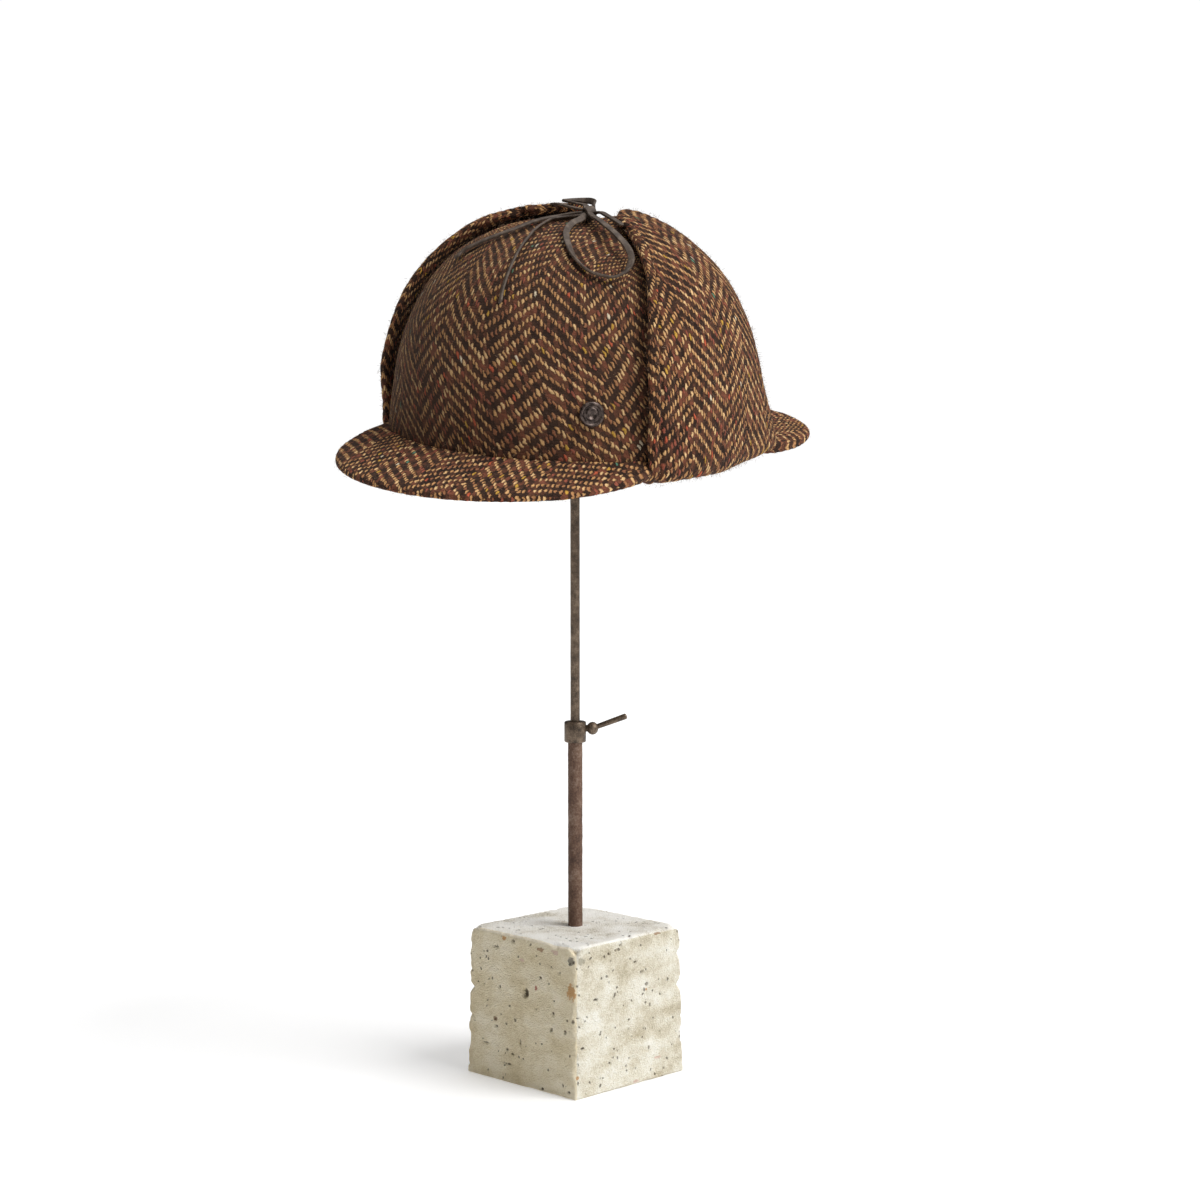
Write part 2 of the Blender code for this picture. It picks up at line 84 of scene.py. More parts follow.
surround.links.new(strength.outputs[0], surround.nodes["Background"].inputs["Strength"])
surround.nodes["Background"].inputs["Color"].default_value = (1.0, 1.0, 1.0, 1.0)
bpy.context.scene.world = world
for name, right, toward, height, spread, strength in (
    ("key_light", 1.25, 0.62, 1.25, 42, 2.45), ("top_light", 0.15, -0.10, 1.0, 70, 1.95),
):
    light = bpy.data.objects.new(name, bpy.data.lights.new(name, "SUN"))
    light.data.angle = radians(spread)
    light.data.energy = strength
    light.location = PICTURE_RIGHT * right + TOWARD_CAMERA * toward + Vector((0, 0, height))
    light.rotation_euler = (-light.location).to_track_quat("-Z", "Y").to_euler()
    bpy.context.scene.collection.objects.link(light)
bm = bmesh.new()
bmesh.ops.create_grid(bm, x_segments=1, y_segments=1, size=6.0)
floor_mesh = bpy.data.meshes.new("floor")
bm.to_mesh(floor_mesh)
bm.free()
floor = bpy.data.objects.new("floor", floor_mesh)
paper = bpy.data.materials.new("white_paper")
paper.use_nodes = True
for key, value in (
    ("Base Color", (0.80, 0.80, 0.80, 1)), ("Roughness", 0.8),
    ("Emission Color", (1, 1, 1, 1)), ("Emission Strength", 0.26),
):
    paper.node_tree.nodes["Principled BSDF"].inputs[key].default_value = value
floor_mesh.materials.append(paper)
bpy.context.scene.collection.objects.link(floor)


# The hat's form. The crown is a full half egg, and every piece of the hat lies on it. Directions
# are given in shares of its half sizes, and points in the hat's own upright frame.
CROWN_HALF = np.array((0.0837, 0.1017, 0.105))
CROWN_FULLNESS = 2.48
HAT_PLACE = Vector((-0.0033, 0.0, 0.3291))
HAT_TILT = Euler((radians(4.9), radians(7.7), 0.0))
hat_matrix = np.array(Matrix.Translation(HAT_PLACE) @ HAT_TILT.to_matrix().to_4x4())


def crown_normal(points):
    share = points / CROWN_HALF
    flat = np.maximum(np.hypot(share[..., 0], share[..., 1]), 1e-9) ** (CROWN_FULLNESS - 2)
    up = np.maximum(share[..., 2], 0.0) ** (CROWN_FULLNESS - 1)
    normal = np.stack((flat * share[..., 0], flat * share[..., 1], up), -1) / CROWN_HALF
    return normal / np.linalg.norm(normal, axis=-1, keepdims=True)


def crown_point(directions, lift=0.0):
    """The point of the crown's surface in a direction, lifted off the cloth."""
    flat = np.hypot(directions[..., 0], directions[..., 1]) ** CROWN_FULLNESS
    up = np.abs(directions[..., 2]) ** CROWN_FULLNESS
    points = directions * ((flat + up) ** (-1 / CROWN_FULLNESS))[..., None] * CROWN_HALF
    return points + crown_normal(points) * np.asarray(lift)[..., None]


def over_crown(route):
    """Points over the crown from rows of x, y and the height above the cloth, in millimetres."""
    x, y, lift = np.array(route).T / 1000
    flat = np.hypot(x / CROWN_HALF[0], y / CROWN_HALF[1])
    height = CROWN_HALF[2] * (1 - flat**CROWN_FULLNESS) ** (1 / CROWN_FULLNESS)
    points = np.stack((x, y, height), -1)
    return points + crown_normal(points) * lift[:, None]


def on_stand(points):
    """Points of the hat's own frame, set on the stand."""
    return points @ hat_matrix[:3, :3].T + hat_matrix[:3, 3]


# Thongs: two flat leather laces, dark brown with fine grooves along them. Each is sewn to the
# tip of an ear flap, runs to the knot, stands up from it in a bow's loop and ends in a tail.
LACE_WIDTH = 0.0033
LACE_THICKNESS = 0.0014
LACE_STEP = 0.0007
LACE_GROOVES, LACE_GROOVE_DEPTH, LACE_GROOVED = 3, 0.16, 0.85
LACE_POINTS, LACE_SQUARENESS = 28, 0.55
LEFT_STRAND = (
    (33.0, -19.6, 7.6), (27.5, -18.6, 7.6), (22.0, -16.2, 7.4), (18.0, -13.6, 7.2),
    (14.6, -11.2, 6.2),
)
FRONT_LOOP = (
    (10.2, -15.4, 4.2), (11.6, -21.3, 3.4), (11.2, -28.2, 2.4), (14.5, -37.5, 2.0),
    (18.6, -43.9, 2.0), (23.3, -48.7, 2.0), (27.1, -51.7, 2.0), (31.2, -53.5, 2.0),
    (37.8, -54.1, 2.2), (43.5, -50.9, 2.6), (47.6, -46.5, 3.4), (49.2, -40.3, 5.0),
    (47.5, -34.6, 6.0), (43.0, -31.0, 6.2), (35.4, -28.2, 6.2), (27.9, -25.5, 6.2),
    (20.2, -20.9, 5.8), (14.1, -16.0, 5.2),
)
FRONT_TAIL = (
    (6.4, -15.0, 3.4), (1.5, -17.5, 2.2), (-1.5, -21.5, 1.9), (-2.0, -28.3, 1.9),
    (0.6, -43.7, 1.9), (2.8, -53.4, 1.9), (4.1, -60.7, 1.9), (6.0, -68.7, 1.9),
    (7.5, -74.5, 1.9), (9.1, -80.3, 1.9), (11.0, -84.8, 1.9),
)
RIGHT_STRAND = (
    (-15.5, -6.0, 7.2), (-10.0, -6.6, 7.2), (-4.5, -7.2, 6.4), (1.0, -7.5, 5.8),
    (5.1, -7.6, 5.6),
)
TOP_LOOP = (
    (9.0, -6.8, 7.8), (6.4, -1.8, 9.2), (2.2, 1.8, 9.4), (-3.0, 4.4, 9.2),
    (-7.6, 4.8, 9.0), (-10.8, 2.0, 8.8), (-10.0, -1.4, 8.6), (-6.0, -2.4, 8.2),
    (-1.5, -3.0, 7.8), (3.2, -4.2, 7.4),
)
SIDE_TAIL = (
    (5.1, -12.1, 4.6), (0.5, -13.9, 3.6), (-4.2, -16.8, 2.4), (-7.3, -23.0, 1.9),
    (-8.4, -32.1, 1.9), (-9.7, -41.1, 1.9), (-13.4, -47.9, 1.9), (-18.7, -52.4, 1.9),
    (-24.2, -55.7, 1.9), (-29.4, -56.9, 1.9), (-31.4, -61.8, 1.9),
)
KNOT_PLACE = (9.8, -10.4, 4.8)


def set_out(mesh, material, slot, *nodes):
    """A mesh made a piece that rides on the object and stands for its solids, if it has any."""
    mesh.materials.append(material)
    piece = bpy.data.objects.new(mesh.name, mesh)
    bpy.context.scene.collection.objects.link(piece)
    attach(piece, "root")
    if nodes:
        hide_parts(*nodes)
    return piece


def add_piece(name, points, faces, material, slot, *nodes):
    """A smooth piece from points and faces."""
    mesh = bpy.data.meshes.new(name)
    mesh.from_pydata(points.tolist(), [], [list(face) for face in faces])
    mesh.shade_smooth()
    return set_out(mesh, material, slot, *nodes)


def grid_faces(rows, columns, closed=False):
    """Quads of a grid of points, row by row. A closed grid joins its last column to its first."""
    row = np.arange(rows - 1)[:, None] * columns
    column = np.arange(columns if closed else columns - 1)[None, :]
    after = (column + 1) % columns
    corners = (row + column, row + after, row + columns + after, row + columns + column)
    return np.stack(corners, -1).reshape(-1, 4)


def new_material(name):
    """A material, its place in the piece's own space, and short makers of its nodes: one for any
    node, the surface's own too, one for a Math node and one for a ramp of colours."""
    material = bpy.data.materials.new(name)
    material.use_nodes = True
    tree = material.node_tree

    def add(kind, inputs=(), **settings):
        node = tree.nodes.get(kind) or tree.nodes.new(kind)
        for key, value in settings.items():
            setattr(node, key, value)
        for socket, value in dict(inputs).items():
            if isinstance(value, bpy.types.NodeSocket):
                tree.links.new(value, node.inputs[socket])
            else:
                node.inputs[socket].default_value = value
        return node

    def math(operation, *values, clamp=False):
        node = add("ShaderNodeMath", enumerate(values), operation=operation, use_clamp=clamp)
        return node.outputs[0]

    def ramp(factor, stops, interpolation="LINEAR"):
        node = add("ShaderNodeValToRGB", {"Fac": factor})
        node.color_ramp.interpolation = interpolation
        while len(node.color_ramp.elements) < len(stops):
            node.color_ramp.elements.new(1.0)
        for element, (place, colour) in zip(node.color_ramp.elements, stops):
            element.position = place
            element.color = (*colour, 1.0)
        return node.outputs["Color"]

    return material, add("ShaderNodeTexCoord").outputs["Object"], add, math, ramp


def grains(add, place, scale, detail, rough=0.5):
    """Soft random shades from 0 to 1."""
    inputs = {"Vector": place, "Scale": scale, "Detail": detail, "Roughness": rough}
    return add("ShaderNodeTexNoise", inputs).outputs[0]


def mix(add, factor, below, above):
    """The colour above, laid over the one below as far as the factor says."""
    return add("ShaderNodeMix", {0: factor, 6: below, 7: above}, data_type="RGBA").outputs[2]


lace_leather, place, add, math, ramp = new_material("lace_leather")
blotch = math("MULTIPLY", grains(add, place, 260.0, 4.0), 0.6)
mixed = math("MULTIPLY_ADD", grains(add, place, 2600.0, 3.0), 0.4, blotch)
leather_colour = ramp(mixed, (
    (0.34, (0.030, 0.019, 0.013)), (0.50, (0.070, 0.048, 0.034)), (0.66, (0.150, 0.110, 0.082)),
))
leather_bump = add("ShaderNodeBump", {"Height": mixed, "Distance": 0.0002, "Strength": 0.7})
add("Principled BSDF", {
    "Base Color": leather_colour, "Roughness": 0.6, "Specular IOR Level": 0.3,
    "Normal": leather_bump.outputs[0],
})


def smooth_path(route, step):
    """Evenly spaced points on a smooth curve through the route's points."""
    ends = np.vstack((2 * route[0] - route[1], route, 2 * route[-1] - route[-2]))
    dense = []
    for before, start, stop, after in zip(ends, ends[1:], ends[2:], ends[3:]):
        for t in np.arange(16) / 16:
            bend = (2 * before - 5 * start + 4 * stop - after) * t**2
            turn = (3 * start - 3 * stop + after - before) * t**3
            dense.append(0.5 * (2 * start + (stop - before) * t + bend + turn))
    dense = np.vstack((dense, route[-1:]))
    lengths = np.append(0, np.cumsum(np.linalg.norm(np.diff(dense, axis=0), axis=1)))
    even = np.linspace(0, lengths[-1], int(lengths[-1] / step) + 1)
    return np.stack([np.interp(even, lengths, axis) for axis in dense.T], -1)


def lace_section():
    """The lace's cross-section as shares of its half width and half thickness: a flat oval with
    fine grooves along both faces."""
    turn = np.linspace(0, 2 * pi, LACE_POINTS, endpoint=False)
    across = np.sign(np.cos(turn)) * np.abs(np.cos(turn)) ** LACE_SQUARENESS
    up = np.sign(np.sin(turn)) * np.abs(np.sin(turn)) ** LACE_SQUARENESS
    groove = np.cos(across * pi * LACE_GROOVES) ** 2 * (np.abs(across) < LACE_GROOVED)
    groove = 1 - LACE_GROOVE_DEPTH * groove
    return across, up * groove


def add_lace(name, route, twists, nodes):
    """One lace along a route in the hat's frame. Twists are pairs of a share of its length and
    the angle by which its flat side turns up from the cloth."""
    path = smooth_path(route, LACE_STEP)
    ahead = np.gradient(path, axis=0)
    ahead /= np.linalg.norm(ahead, axis=1, keepdims=True)
    up = crown_normal(path)
    side = np.cross(ahead, up)
    for _ in range(6):
        side[1:-1] = (side[:-2] + side[1:-1] + side[2:]) / 3
    side -= ahead * (side * ahead).sum(1, keepdims=True)
    side /= np.linalg.norm(side, axis=1, keepdims=True)
    up = np.cross(side, ahead)
    share = np.linspace(0, 1, len(path))
    twist = np.radians(np.interp(share, *zip(*twists)))[:, None]
    side, up = side * np.cos(twist) + up * np.sin(twist), up * np.cos(twist) - side * np.sin(twist)
    taper = np.minimum(1, 0.35 + np.minimum(share, 1 - share) * len(path) / 3)[:, None, None]
    across, rise = lace_section()
    rings = (
        path[:, None] + side[:, None] * (across * LACE_WIDTH / 2)[:, None] * taper
        + up[:, None] * (rise * LACE_THICKNESS / 2)[:, None] * taper
    )
    columns = len(across)
    faces = grid_faces(len(path), columns, closed=True)
    last = (len(path) - 1) * columns
    caps = []
    for k in range(1, columns // 2):
        caps.append((k - 1, columns - k, columns - k - 1, k))
        caps.append((last + k, last + columns - k - 1, last + columns - k, last + k - 1))
    points = on_stand(rings.reshape(-1, 3))
    lace = add_piece(name, points, np.vstack((faces, caps)), lace_leather, "leather", *nodes)
    line = on_stand(path)
    length = np.linalg.norm(np.diff(line, axis=0), axis=1).sum()
    return lace, line, float(length)


knot_point = over_crown([KNOT_PLACE])[0]
inside_knot = np.array(((0.0010, 0.0006, 0.0), (-0.0004, -0.0008, 0.0006)))
left_route = np.vstack((
    over_crown(LEFT_STRAND), knot_point + inside_knot[0], over_crown(FRONT_LOOP),
    knot_point + inside_knot[1], over_crown(FRONT_TAIL),
))
right_route = np.vstack((
    over_crown(RIGHT_STRAND), knot_point - inside_knot[1], over_crown(TOP_LOOP),
    knot_point - inside_knot[0], over_crown(SIDE_TAIL),
))
left_lace, left_line, left_length = add_lace(
    "left_lace", left_route,
    ((0.0, 0), (0.10, 0), (0.13, 35), (0.20, 20), (0.26, 10), (0.33, 55), (0.42, 60), (0.50, 10),
     (0.62, 0), (0.69, -38), (0.80, -48), (1.0, -52)),
    ("left_thong", "front_loop", "front_tail"),
)
right_lace, right_line, right_length = add_lace(
    "right_lace", right_route,
    ((0.0, 0), (0.15, 0), (0.20, 70), (0.28, 60), (0.36, 10), (0.45, 0), (1.0, 0)),
    ("right_thong", "top_loop", "side_tail"),
)

# Knot: the same leather lace wound tightly round the crossing, one turn over the other, with a
# small ball of leather inside that closes the middle.
WRAP_RADIUS = 0.0029
WRAP_TURNS = 1.7
WRAP_RISE = 0.0034
WRAP_STEPS = 60
WRAP_AXIS = (0.35, 0.85, 0.25)
BALL_HALF_LENGTH = 0.00312
BALL_ROWS, BALL_COLUMNS = 9, 16
turn = np.linspace(0, 2 * pi * WRAP_TURNS, WRAP_STEPS)
knot_axis = on_stand(np.array(((0.0, 0.0, 0.0), WRAP_AXIS)))
knot_axis = knot_axis[1] - knot_axis[0]
knot_axis /= np.linalg.norm(knot_axis)
knot_side = np.cross(knot_axis, (0, 0, 1))
knot_side /= np.linalg.norm(knot_side)
knot_up = np.cross(knot_side, knot_axis)
middle = on_stand(knot_point[None])[0]
spoke = knot_side * np.cos(turn)[:, None] + knot_up * np.sin(turn)[:, None]
winding = middle + spoke * WRAP_RADIUS + knot_axis * ((turn / turn[-1] - 0.5) * WRAP_RISE)[:, None]
across, rise = lace_section()
rings = (
    winding[:, None] + knot_axis * (across * LACE_WIDTH / 2)[:, None]
    + spoke[:, None] * (rise * LACE_THICKNESS / 2)[:, None]
)
ball = np.array([
    middle + knot_axis * BALL_HALF_LENGTH * sin(a) + spoke_part * WRAP_RADIUS * cos(a)
    for a in np.linspace(-pi / 2, pi / 2, BALL_ROWS)
    for spoke_part in (
        knot_side * cos(b) + knot_up * sin(b)
        for b in np.linspace(0, 2 * pi, BALL_COLUMNS, endpoint=False)
    )
])
faces = grid_faces(WRAP_STEPS, LACE_POINTS, closed=True)
ball_faces = grid_faces(BALL_ROWS, BALL_COLUMNS, closed=True) + WRAP_STEPS * LACE_POINTS
knot = add_piece(
    "knot", np.vstack((rings.reshape(-1, 3), ball)), np.vstack((faces, ball_faces)),
    lace_leather, "leather", "tie_knot",
)
for lace, line, length, with_pieces in (
    (left_lace, left_line, left_length, [knot]), (right_lace, right_line, right_length, []),
):
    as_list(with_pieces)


# Tweed: a thick herringbone wool. Light warp floats cross a dark weft two by two, and the twill
# turns round every fourteen ends. The cloth's own map counts warp ends across and picks along.
END_PITCH = 0.00175
PICK_PITCH = 0.00163
ENDS_PER_STRIPE = 14
PICKS_PER_REPEAT = 4
# Rows: scale and detail of the wandering, and how far ends and picks stray with it.
YARN_WANDER = ((420.0, 3.0, 1.3, 1.8), (45.0, 2.0, 1.2, 2.0))
FLOAT_MIDDLE, FLOAT_LEAN, FLOAT_NARROWNESS, FLOAT_SHORTNESS = 0.28, 0.55, 2.3, 3.7
FLECKED_SHARE = 0.10
# The haze is a flat dark colour laid over the weave. It dulls the weave like a worn nap, and it is
# also painted shade.
HAZE_AND_SHADE_COLOUR = (0.052, 0.030, 0.020, 1.0)
tweed, place, add, math, ramp = new_material("herringbone_tweed")


def centred(shade, reach):
    """A shade from 0 to 1, spread evenly about zero."""
    return math("MULTIPLY_ADD", shade, reach, -reach / 2)


def chance_of(yarn):
    """A chance from 0 to 1 for each float of a yarn."""
    inputs = {"Vector": yarn.outputs[0]}
    return add("ShaderNodeTexWhiteNoise", inputs, noise_dimensions="2D").outputs[0]


cloth = add("ShaderNodeSeparateXYZ", {0: add("ShaderNodeUVMap", uv_map="cloth").outputs[0]})
end_place, pick_place = cloth.outputs[0], cloth.outputs[1]
for scale, detail, end_reach, pick_reach in YARN_WANDER:
    shift = add("ShaderNodeTexNoise", {"Vector": place, "Scale": scale, "Detail": detail})
    shift = add("ShaderNodeSeparateColor", {0: shift.outputs["Color"]})
    end_place = math("ADD", end_place, centred(shift.outputs[0], end_reach))
    pick_place = math("ADD", pick_place, centred(shift.outputs[1], pick_reach))
end = math("FLOOR", end_place)
across_end = math("SUBTRACT", math("SUBTRACT", end_place, end), 0.5)
step = math("PINGPONG", math("ADD", end, ENDS_PER_STRIPE), ENDS_PER_STRIPE)
repeat = math("DIVIDE", math("ADD", pick_place, step), PICKS_PER_REPEAT)
cycle = math("FLOOR", repeat)
along = math("SUBTRACT", repeat, cycle)
from_middle = math("SUBTRACT", along, FLOAT_MIDDLE)
leaning = math("MULTIPLY_ADD", from_middle, FLOAT_LEAN, across_end)
float_across = math("POWER", math("MULTIPLY", leaning, FLOAT_NARROWNESS), 2.0)
float_along = math("POWER", math("MULTIPLY", from_middle, FLOAT_SHORTNESS), 2.0)
crown_of_float = math("SUBTRACT", math("SUBTRACT", 1.0, float_across), float_along)
fibre = grains(add, place, 1700.0, 3.0)
ragged = centred(fibre, 2.2)
light = math("MULTIPLY", math("MULTIPLY_ADD", ragged, 0.9, crown_of_float), 1.7, clamp=True)
pick = math("FLOOR", pick_place)
across_pick = math("SUBTRACT", math("SUBTRACT", pick_place, pick), 0.5)
weft_height = math("SUBTRACT", 0.5, math("MULTIPLY", math("POWER", across_pick, 2.0), 2.0))
warp_height = math("SQRT", math("MAXIMUM", crown_of_float, 0.0))
height = math("MAXIMUM", weft_height, math("ADD", warp_height, 0.35))
slub = add("ShaderNodeCombineXYZ", {
    0: math("MULTIPLY", end, 3.7), 1: math("MULTIPLY", cycle, 0.35),
})
slub = grains(add, slub.outputs[0], 1.0, 1.0)
chance = chance_of(add("ShaderNodeCombineXYZ", {0: end, 1: cycle}))
shade = math("MULTIPLY_ADD", slub, 0.5, math("MULTIPLY", chance, 0.62))
shade = math("ADD", shade, math("MULTIPLY", ragged, 0.12))
warp_colour = ramp(shade, (
    (0.10, (0.120, 0.038, 0.022)), (0.30, (0.300, 0.120, 0.058)), (0.48, (0.500, 0.255, 0.103)),
    (0.66, (0.640, 0.360, 0.150)), (0.86, (0.790, 0.520, 0.250)),
))
fleck = chance_of(add("ShaderNodeCombineXYZ", {0: math("ADD", end, 91.0), 1: cycle}))
fleck_colour = ramp(fleck, (
    (0.0, (0.50, 0.10, 0.045)), (0.010, (0.55, 0.31, 0.05)), (0.030, (0.74, 0.62, 0.44)),
    (0.037, (0.09, 0.22, 0.14)), (0.040, (0.30, 0.085, 0.050)),
), "CONSTANT")
warp_colour = mix(add, math("LESS_THAN", fleck, FLECKED_SHARE), warp_colour, fleck_colour)
weft_yarn = add("ShaderNodeCombineXYZ", {
    0: math("MULTIPLY", end_place, 0.33), 1: math("MULTIPLY", pick, 5.3),
})
weft_chance = grains(add, weft_yarn.outputs[0], 1.0, 2.0)
half_cycle = math("FLOOR", math("ADD", repeat, 0.5))
dark_chance = chance_of(add("ShaderNodeCombineXYZ", {0: end, 1: half_cycle}))
weft_chance = math("MULTIPLY_ADD", dark_chance, 0.42, math("MULTIPLY", weft_chance, 0.58))
weft_chance = math("MULTIPLY_ADD", ragged, 0.10, weft_chance)
weft_colour = ramp(weft_chance, (
    (0.30, (0.020, 0.010, 0.007)), (0.50, (0.044, 0.021, 0.013)), (0.62, (0.105, 0.040, 0.022)),
    (0.76, (0.190, 0.062, 0.034)),
))
colour = mix(add, light, weft_colour, warp_colour)
# Painted shade with the nap: the haze darkens the crown against the flaps and peaks, and most of all
# low on the crown's front on the wearer's right, which faces away from the key light.
haze_and_shade = add("ShaderNodeAttribute", attribute_name="nap_and_shade").outputs["Fac"]
haze_and_shade = math("MULTIPLY_ADD", haze_and_shade, 0.65, math("MULTIPLY_ADD", fibre, 0.7, -0.30), clamp=True)
relief = math("MULTIPLY_ADD", fibre, 0.35, height)
bump = add("ShaderNodeBump", {"Height": relief, "Distance": 0.0008, "Strength": 0.9})
add("Principled BSDF", {
    "Base Color": mix(add, haze_and_shade, colour, HAZE_AND_SHADE_COLOUR), "Roughness": 0.95,
    "Specular IOR Level": 0.15, "Sheen Weight": 0.06, "Sheen Roughness": 0.5,
    "Sheen Tint": (0.55, 0.45, 0.36, 1.0), "Normal": bump.outputs[0],
})

# Loose wool: short fine hairs of the same yarn that stand off the face of every tweed piece, as
# they do on a coarse woollen cloth.
HAIR_SPREAD = 0.0005
HAIR_SHORTEST, HAIR_LONGEST = 0.0008, 0.0026
HAIR_HALF_WIDTH = 0.00005
HAIR_RISE, HAIR_LEAST_RISE = 0.9, 0.15
HAIR_CURL = 6000
CROWN_HAIRS, PEAK_HAIRS, FLAP_HAIRS = 16000, 5000, 12000
wool, place, add, math, ramp = new_material("loose_wool")
wool_colour = ramp(grains(add, place, 300.0, 2.0), (
    (0.35, (0.05, 0.028, 0.020)), (0.50, (0.15, 0.080, 0.050)), (0.65, (0.34, 0.22, 0.14)),
))
add("Principled BSDF", {"Base Color": wool_colour, "Roughness": 0.9})


def add_cloth(name, points, faces, cloth_map, nap_and_shade, node, hairs, seed):
    """A tweed piece with its cloth map, its nap haze, which is partly painted shade, and its loose
    hairs.
    """
    piece = add_piece(name, on_stand(points), faces, tweed, "tweed", node)
    mesh = piece.data
    layer = mesh.uv_layers.new(name="cloth")
    corners = np.empty(len(mesh.loops), np.int32)
    mesh.loops.foreach_get("vertex_index", corners)
    layer.data.foreach_set("uv", cloth_map[corners].astype(np.float32).ravel())
    attribute = mesh.attributes.new("nap_and_shade", "FLOAT", "POINT")
    attribute.data.foreach_set("value", np.asarray(nap_and_shade, np.float32))
    random = np.random.default_rng(seed)
    count = len(mesh.polygons)
    middles, normals, areas = np.empty(count * 3), np.empty(count * 3), np.empty(count)
    mesh.polygons.foreach_get("center", middles)
    mesh.polygons.foreach_get("normal", normals)
    mesh.polygons.foreach_get("area", areas)
    middles, normals = middles.reshape(-1, 3), normals.reshape(-1, 3)
    chosen = random.choice(count, hairs, p=areas / areas.sum())
    root = middles[chosen] + random.normal(0, HAIR_SPREAD, (hairs, 3))
    lean = random.normal(0, 1, (hairs, 3)) + normals[chosen] * HAIR_RISE
    lean /= np.linalg.norm(lean, axis=1, keepdims=True)
    rise = (lean * normals[chosen]).sum(1)
    lean += normals[chosen] * np.maximum(HAIR_LEAST_RISE - rise, 0)[:, None]
    length = random.uniform(HAIR_SHORTEST, HAIR_LONGEST, (hairs, 1))
    width = np.cross(lean, random.normal(0, 1, (hairs, 3)))
    width *= HAIR_HALF_WIDTH / np.linalg.norm(width, axis=1, keepdims=True)
    curl = np.cross(lean, width) * HAIR_CURL * length
    half = root + lean * length * 0.55 + curl * length * 0.5
    tip = root + lean * length + curl * length * 2.2
    hair = np.stack((root - width, root + width, half + width, tip, half - width), 1)
    base = np.arange(hairs)[:, None] * 5
    hair_faces = [[a, a + 1, a + 2, a + 3, a + 4] for a in base.ravel().tolist()]
    hair_mesh = bpy.data.meshes.new(name + "_nap")
    hair_mesh.from_pydata(hair.reshape(-1, 3).tolist(), [], hair_faces)
    set_out(hair_mesh, wool, "tweed")
    return piece


def unevenness(points, scale, amount, seed):
    """A soft unevenness of the cloth at each point, in metres."""
    offset = Vector((seed * 7.1, seed * 3.3, seed * 5.7))
    return np.array([noise.noise(Vector(p) * scale + offset) for p in points.tolist()]) * amount


def wale(cloth_map, amount):
    """The twill's diagonal ridges in the cloth's face, in metres."""
    end = np.floor(cloth_map[:, 0]) + ENDS_PER_STRIPE
    fold = np.abs((end + ENDS_PER_STRIPE) % (2 * ENDS_PER_STRIPE) - ENDS_PER_STRIPE)
    return np.cos((cloth_map[:, 1] + fold) * pi / 2 - pi / 2) * amount


# Crown: the head part of the hat, one padded shell of tweed. Its stripes lean toward the wearer's
# right as they climb, and run from front to back over the top.
CROWN_COLUMNS, CROWN_ROWS = 540, 144
CLOTH_WALL = 0.003
CROWN_OVERLAP = 0.0022
CROWN_MERIDIAN = 0.168
# Rows: height, turn of the valley, then the stripe's width to the right and to the left of it.
CROWN_STRIPES = np.array((
    (0.000, 13.5, 12.0, 17.6),
    (0.025, 8.8, 12.4, 17.3),
    (0.055, 3.1, 14.7, 15.9),
    (0.085, 1.0, 13.6, 16.1),
    (0.106, 0.0, 14.0, 16.0),
))
BACK_STRIPE = 15.5
TOP_STRIPE = 0.0205
TOP_START, TOP_BLEND = 0.078, 0.022
# The crown's haze, partly painted shade: where it is strongest, how far it spreads, and its least and
# most.
CROWN_NAP_SHADE_TURN, CROWN_NAP_SHADE_SPREAD = -42.0, 34.0
CROWN_NAP_SHADE_LEAST, CROWN_NAP_SHADE_MOST = 0.34, 0.72
WALE_HEIGHT, PEAK_WALE_HEIGHT = 0.00018, 0.00016
SWELL_X, SWELL_Y, SWELL_SPREAD, SWELL_HEIGHT = 0.021, 0.006, 0.012, 0.0046


def crown_cloth(points):
    """The cloth map at points of the crown."""
    x, y, z = points.T
    half_width, half_length, tall = CROWN_HALF
    turn = np.degrees(np.arctan2(x, -y))
    valley, to_right, to_left = (
        np.interp(z, CROWN_STRIPES[:, 0], CROWN_STRIPES[:, k]) for k in (1, 2, 3)
    )
    front = np.where(turn < valley, (turn - valley) / to_right, (turn - valley) / to_left)
    back = np.degrees(np.arctan2(x, y)) / BACK_STRIPE
    stripe = np.where(np.abs(turn) < 90, front, back)
    climb = np.arctan2(z / tall, np.hypot(x / half_width, y / half_length)) / (pi / 2)
    over = np.arctan2(z / tall, -y / half_length) / (pi / 2)
    climb = np.where(np.abs(turn) < 90, climb, 2 - climb)
    top = np.clip((z - TOP_START) / TOP_BLEND, 0, 1)
    top = top * top * (3 - 2 * top)
    stripe = stripe * (1 - top) + (x - 0.001) / TOP_STRIPE * top
    climb = climb * (1 - top) + over * top
    return np.stack((stripe * ENDS_PER_STRIPE, climb * CROWN_MERIDIAN / PICK_PITCH), -1)


turn, climb = np.meshgrid(
    np.linspace(0, 2 * pi, CROWN_COLUMNS, endpoint=False), np.linspace(0, 0.997, CROWN_ROWS),
)
climb = climb * pi / 2
directions = np.stack(
    (np.sin(turn) * np.cos(climb), -np.cos(turn) * np.cos(climb), np.sin(climb)), -1
).reshape(-1, 3)
outside = crown_point(directions)
cloth_map = crown_cloth(outside)
normals = crown_normal(outside)
outside[:CROWN_COLUMNS, 2] -= CROWN_OVERLAP
turned = np.degrees(np.arctan2(outside[:, 0], -outside[:, 1]))
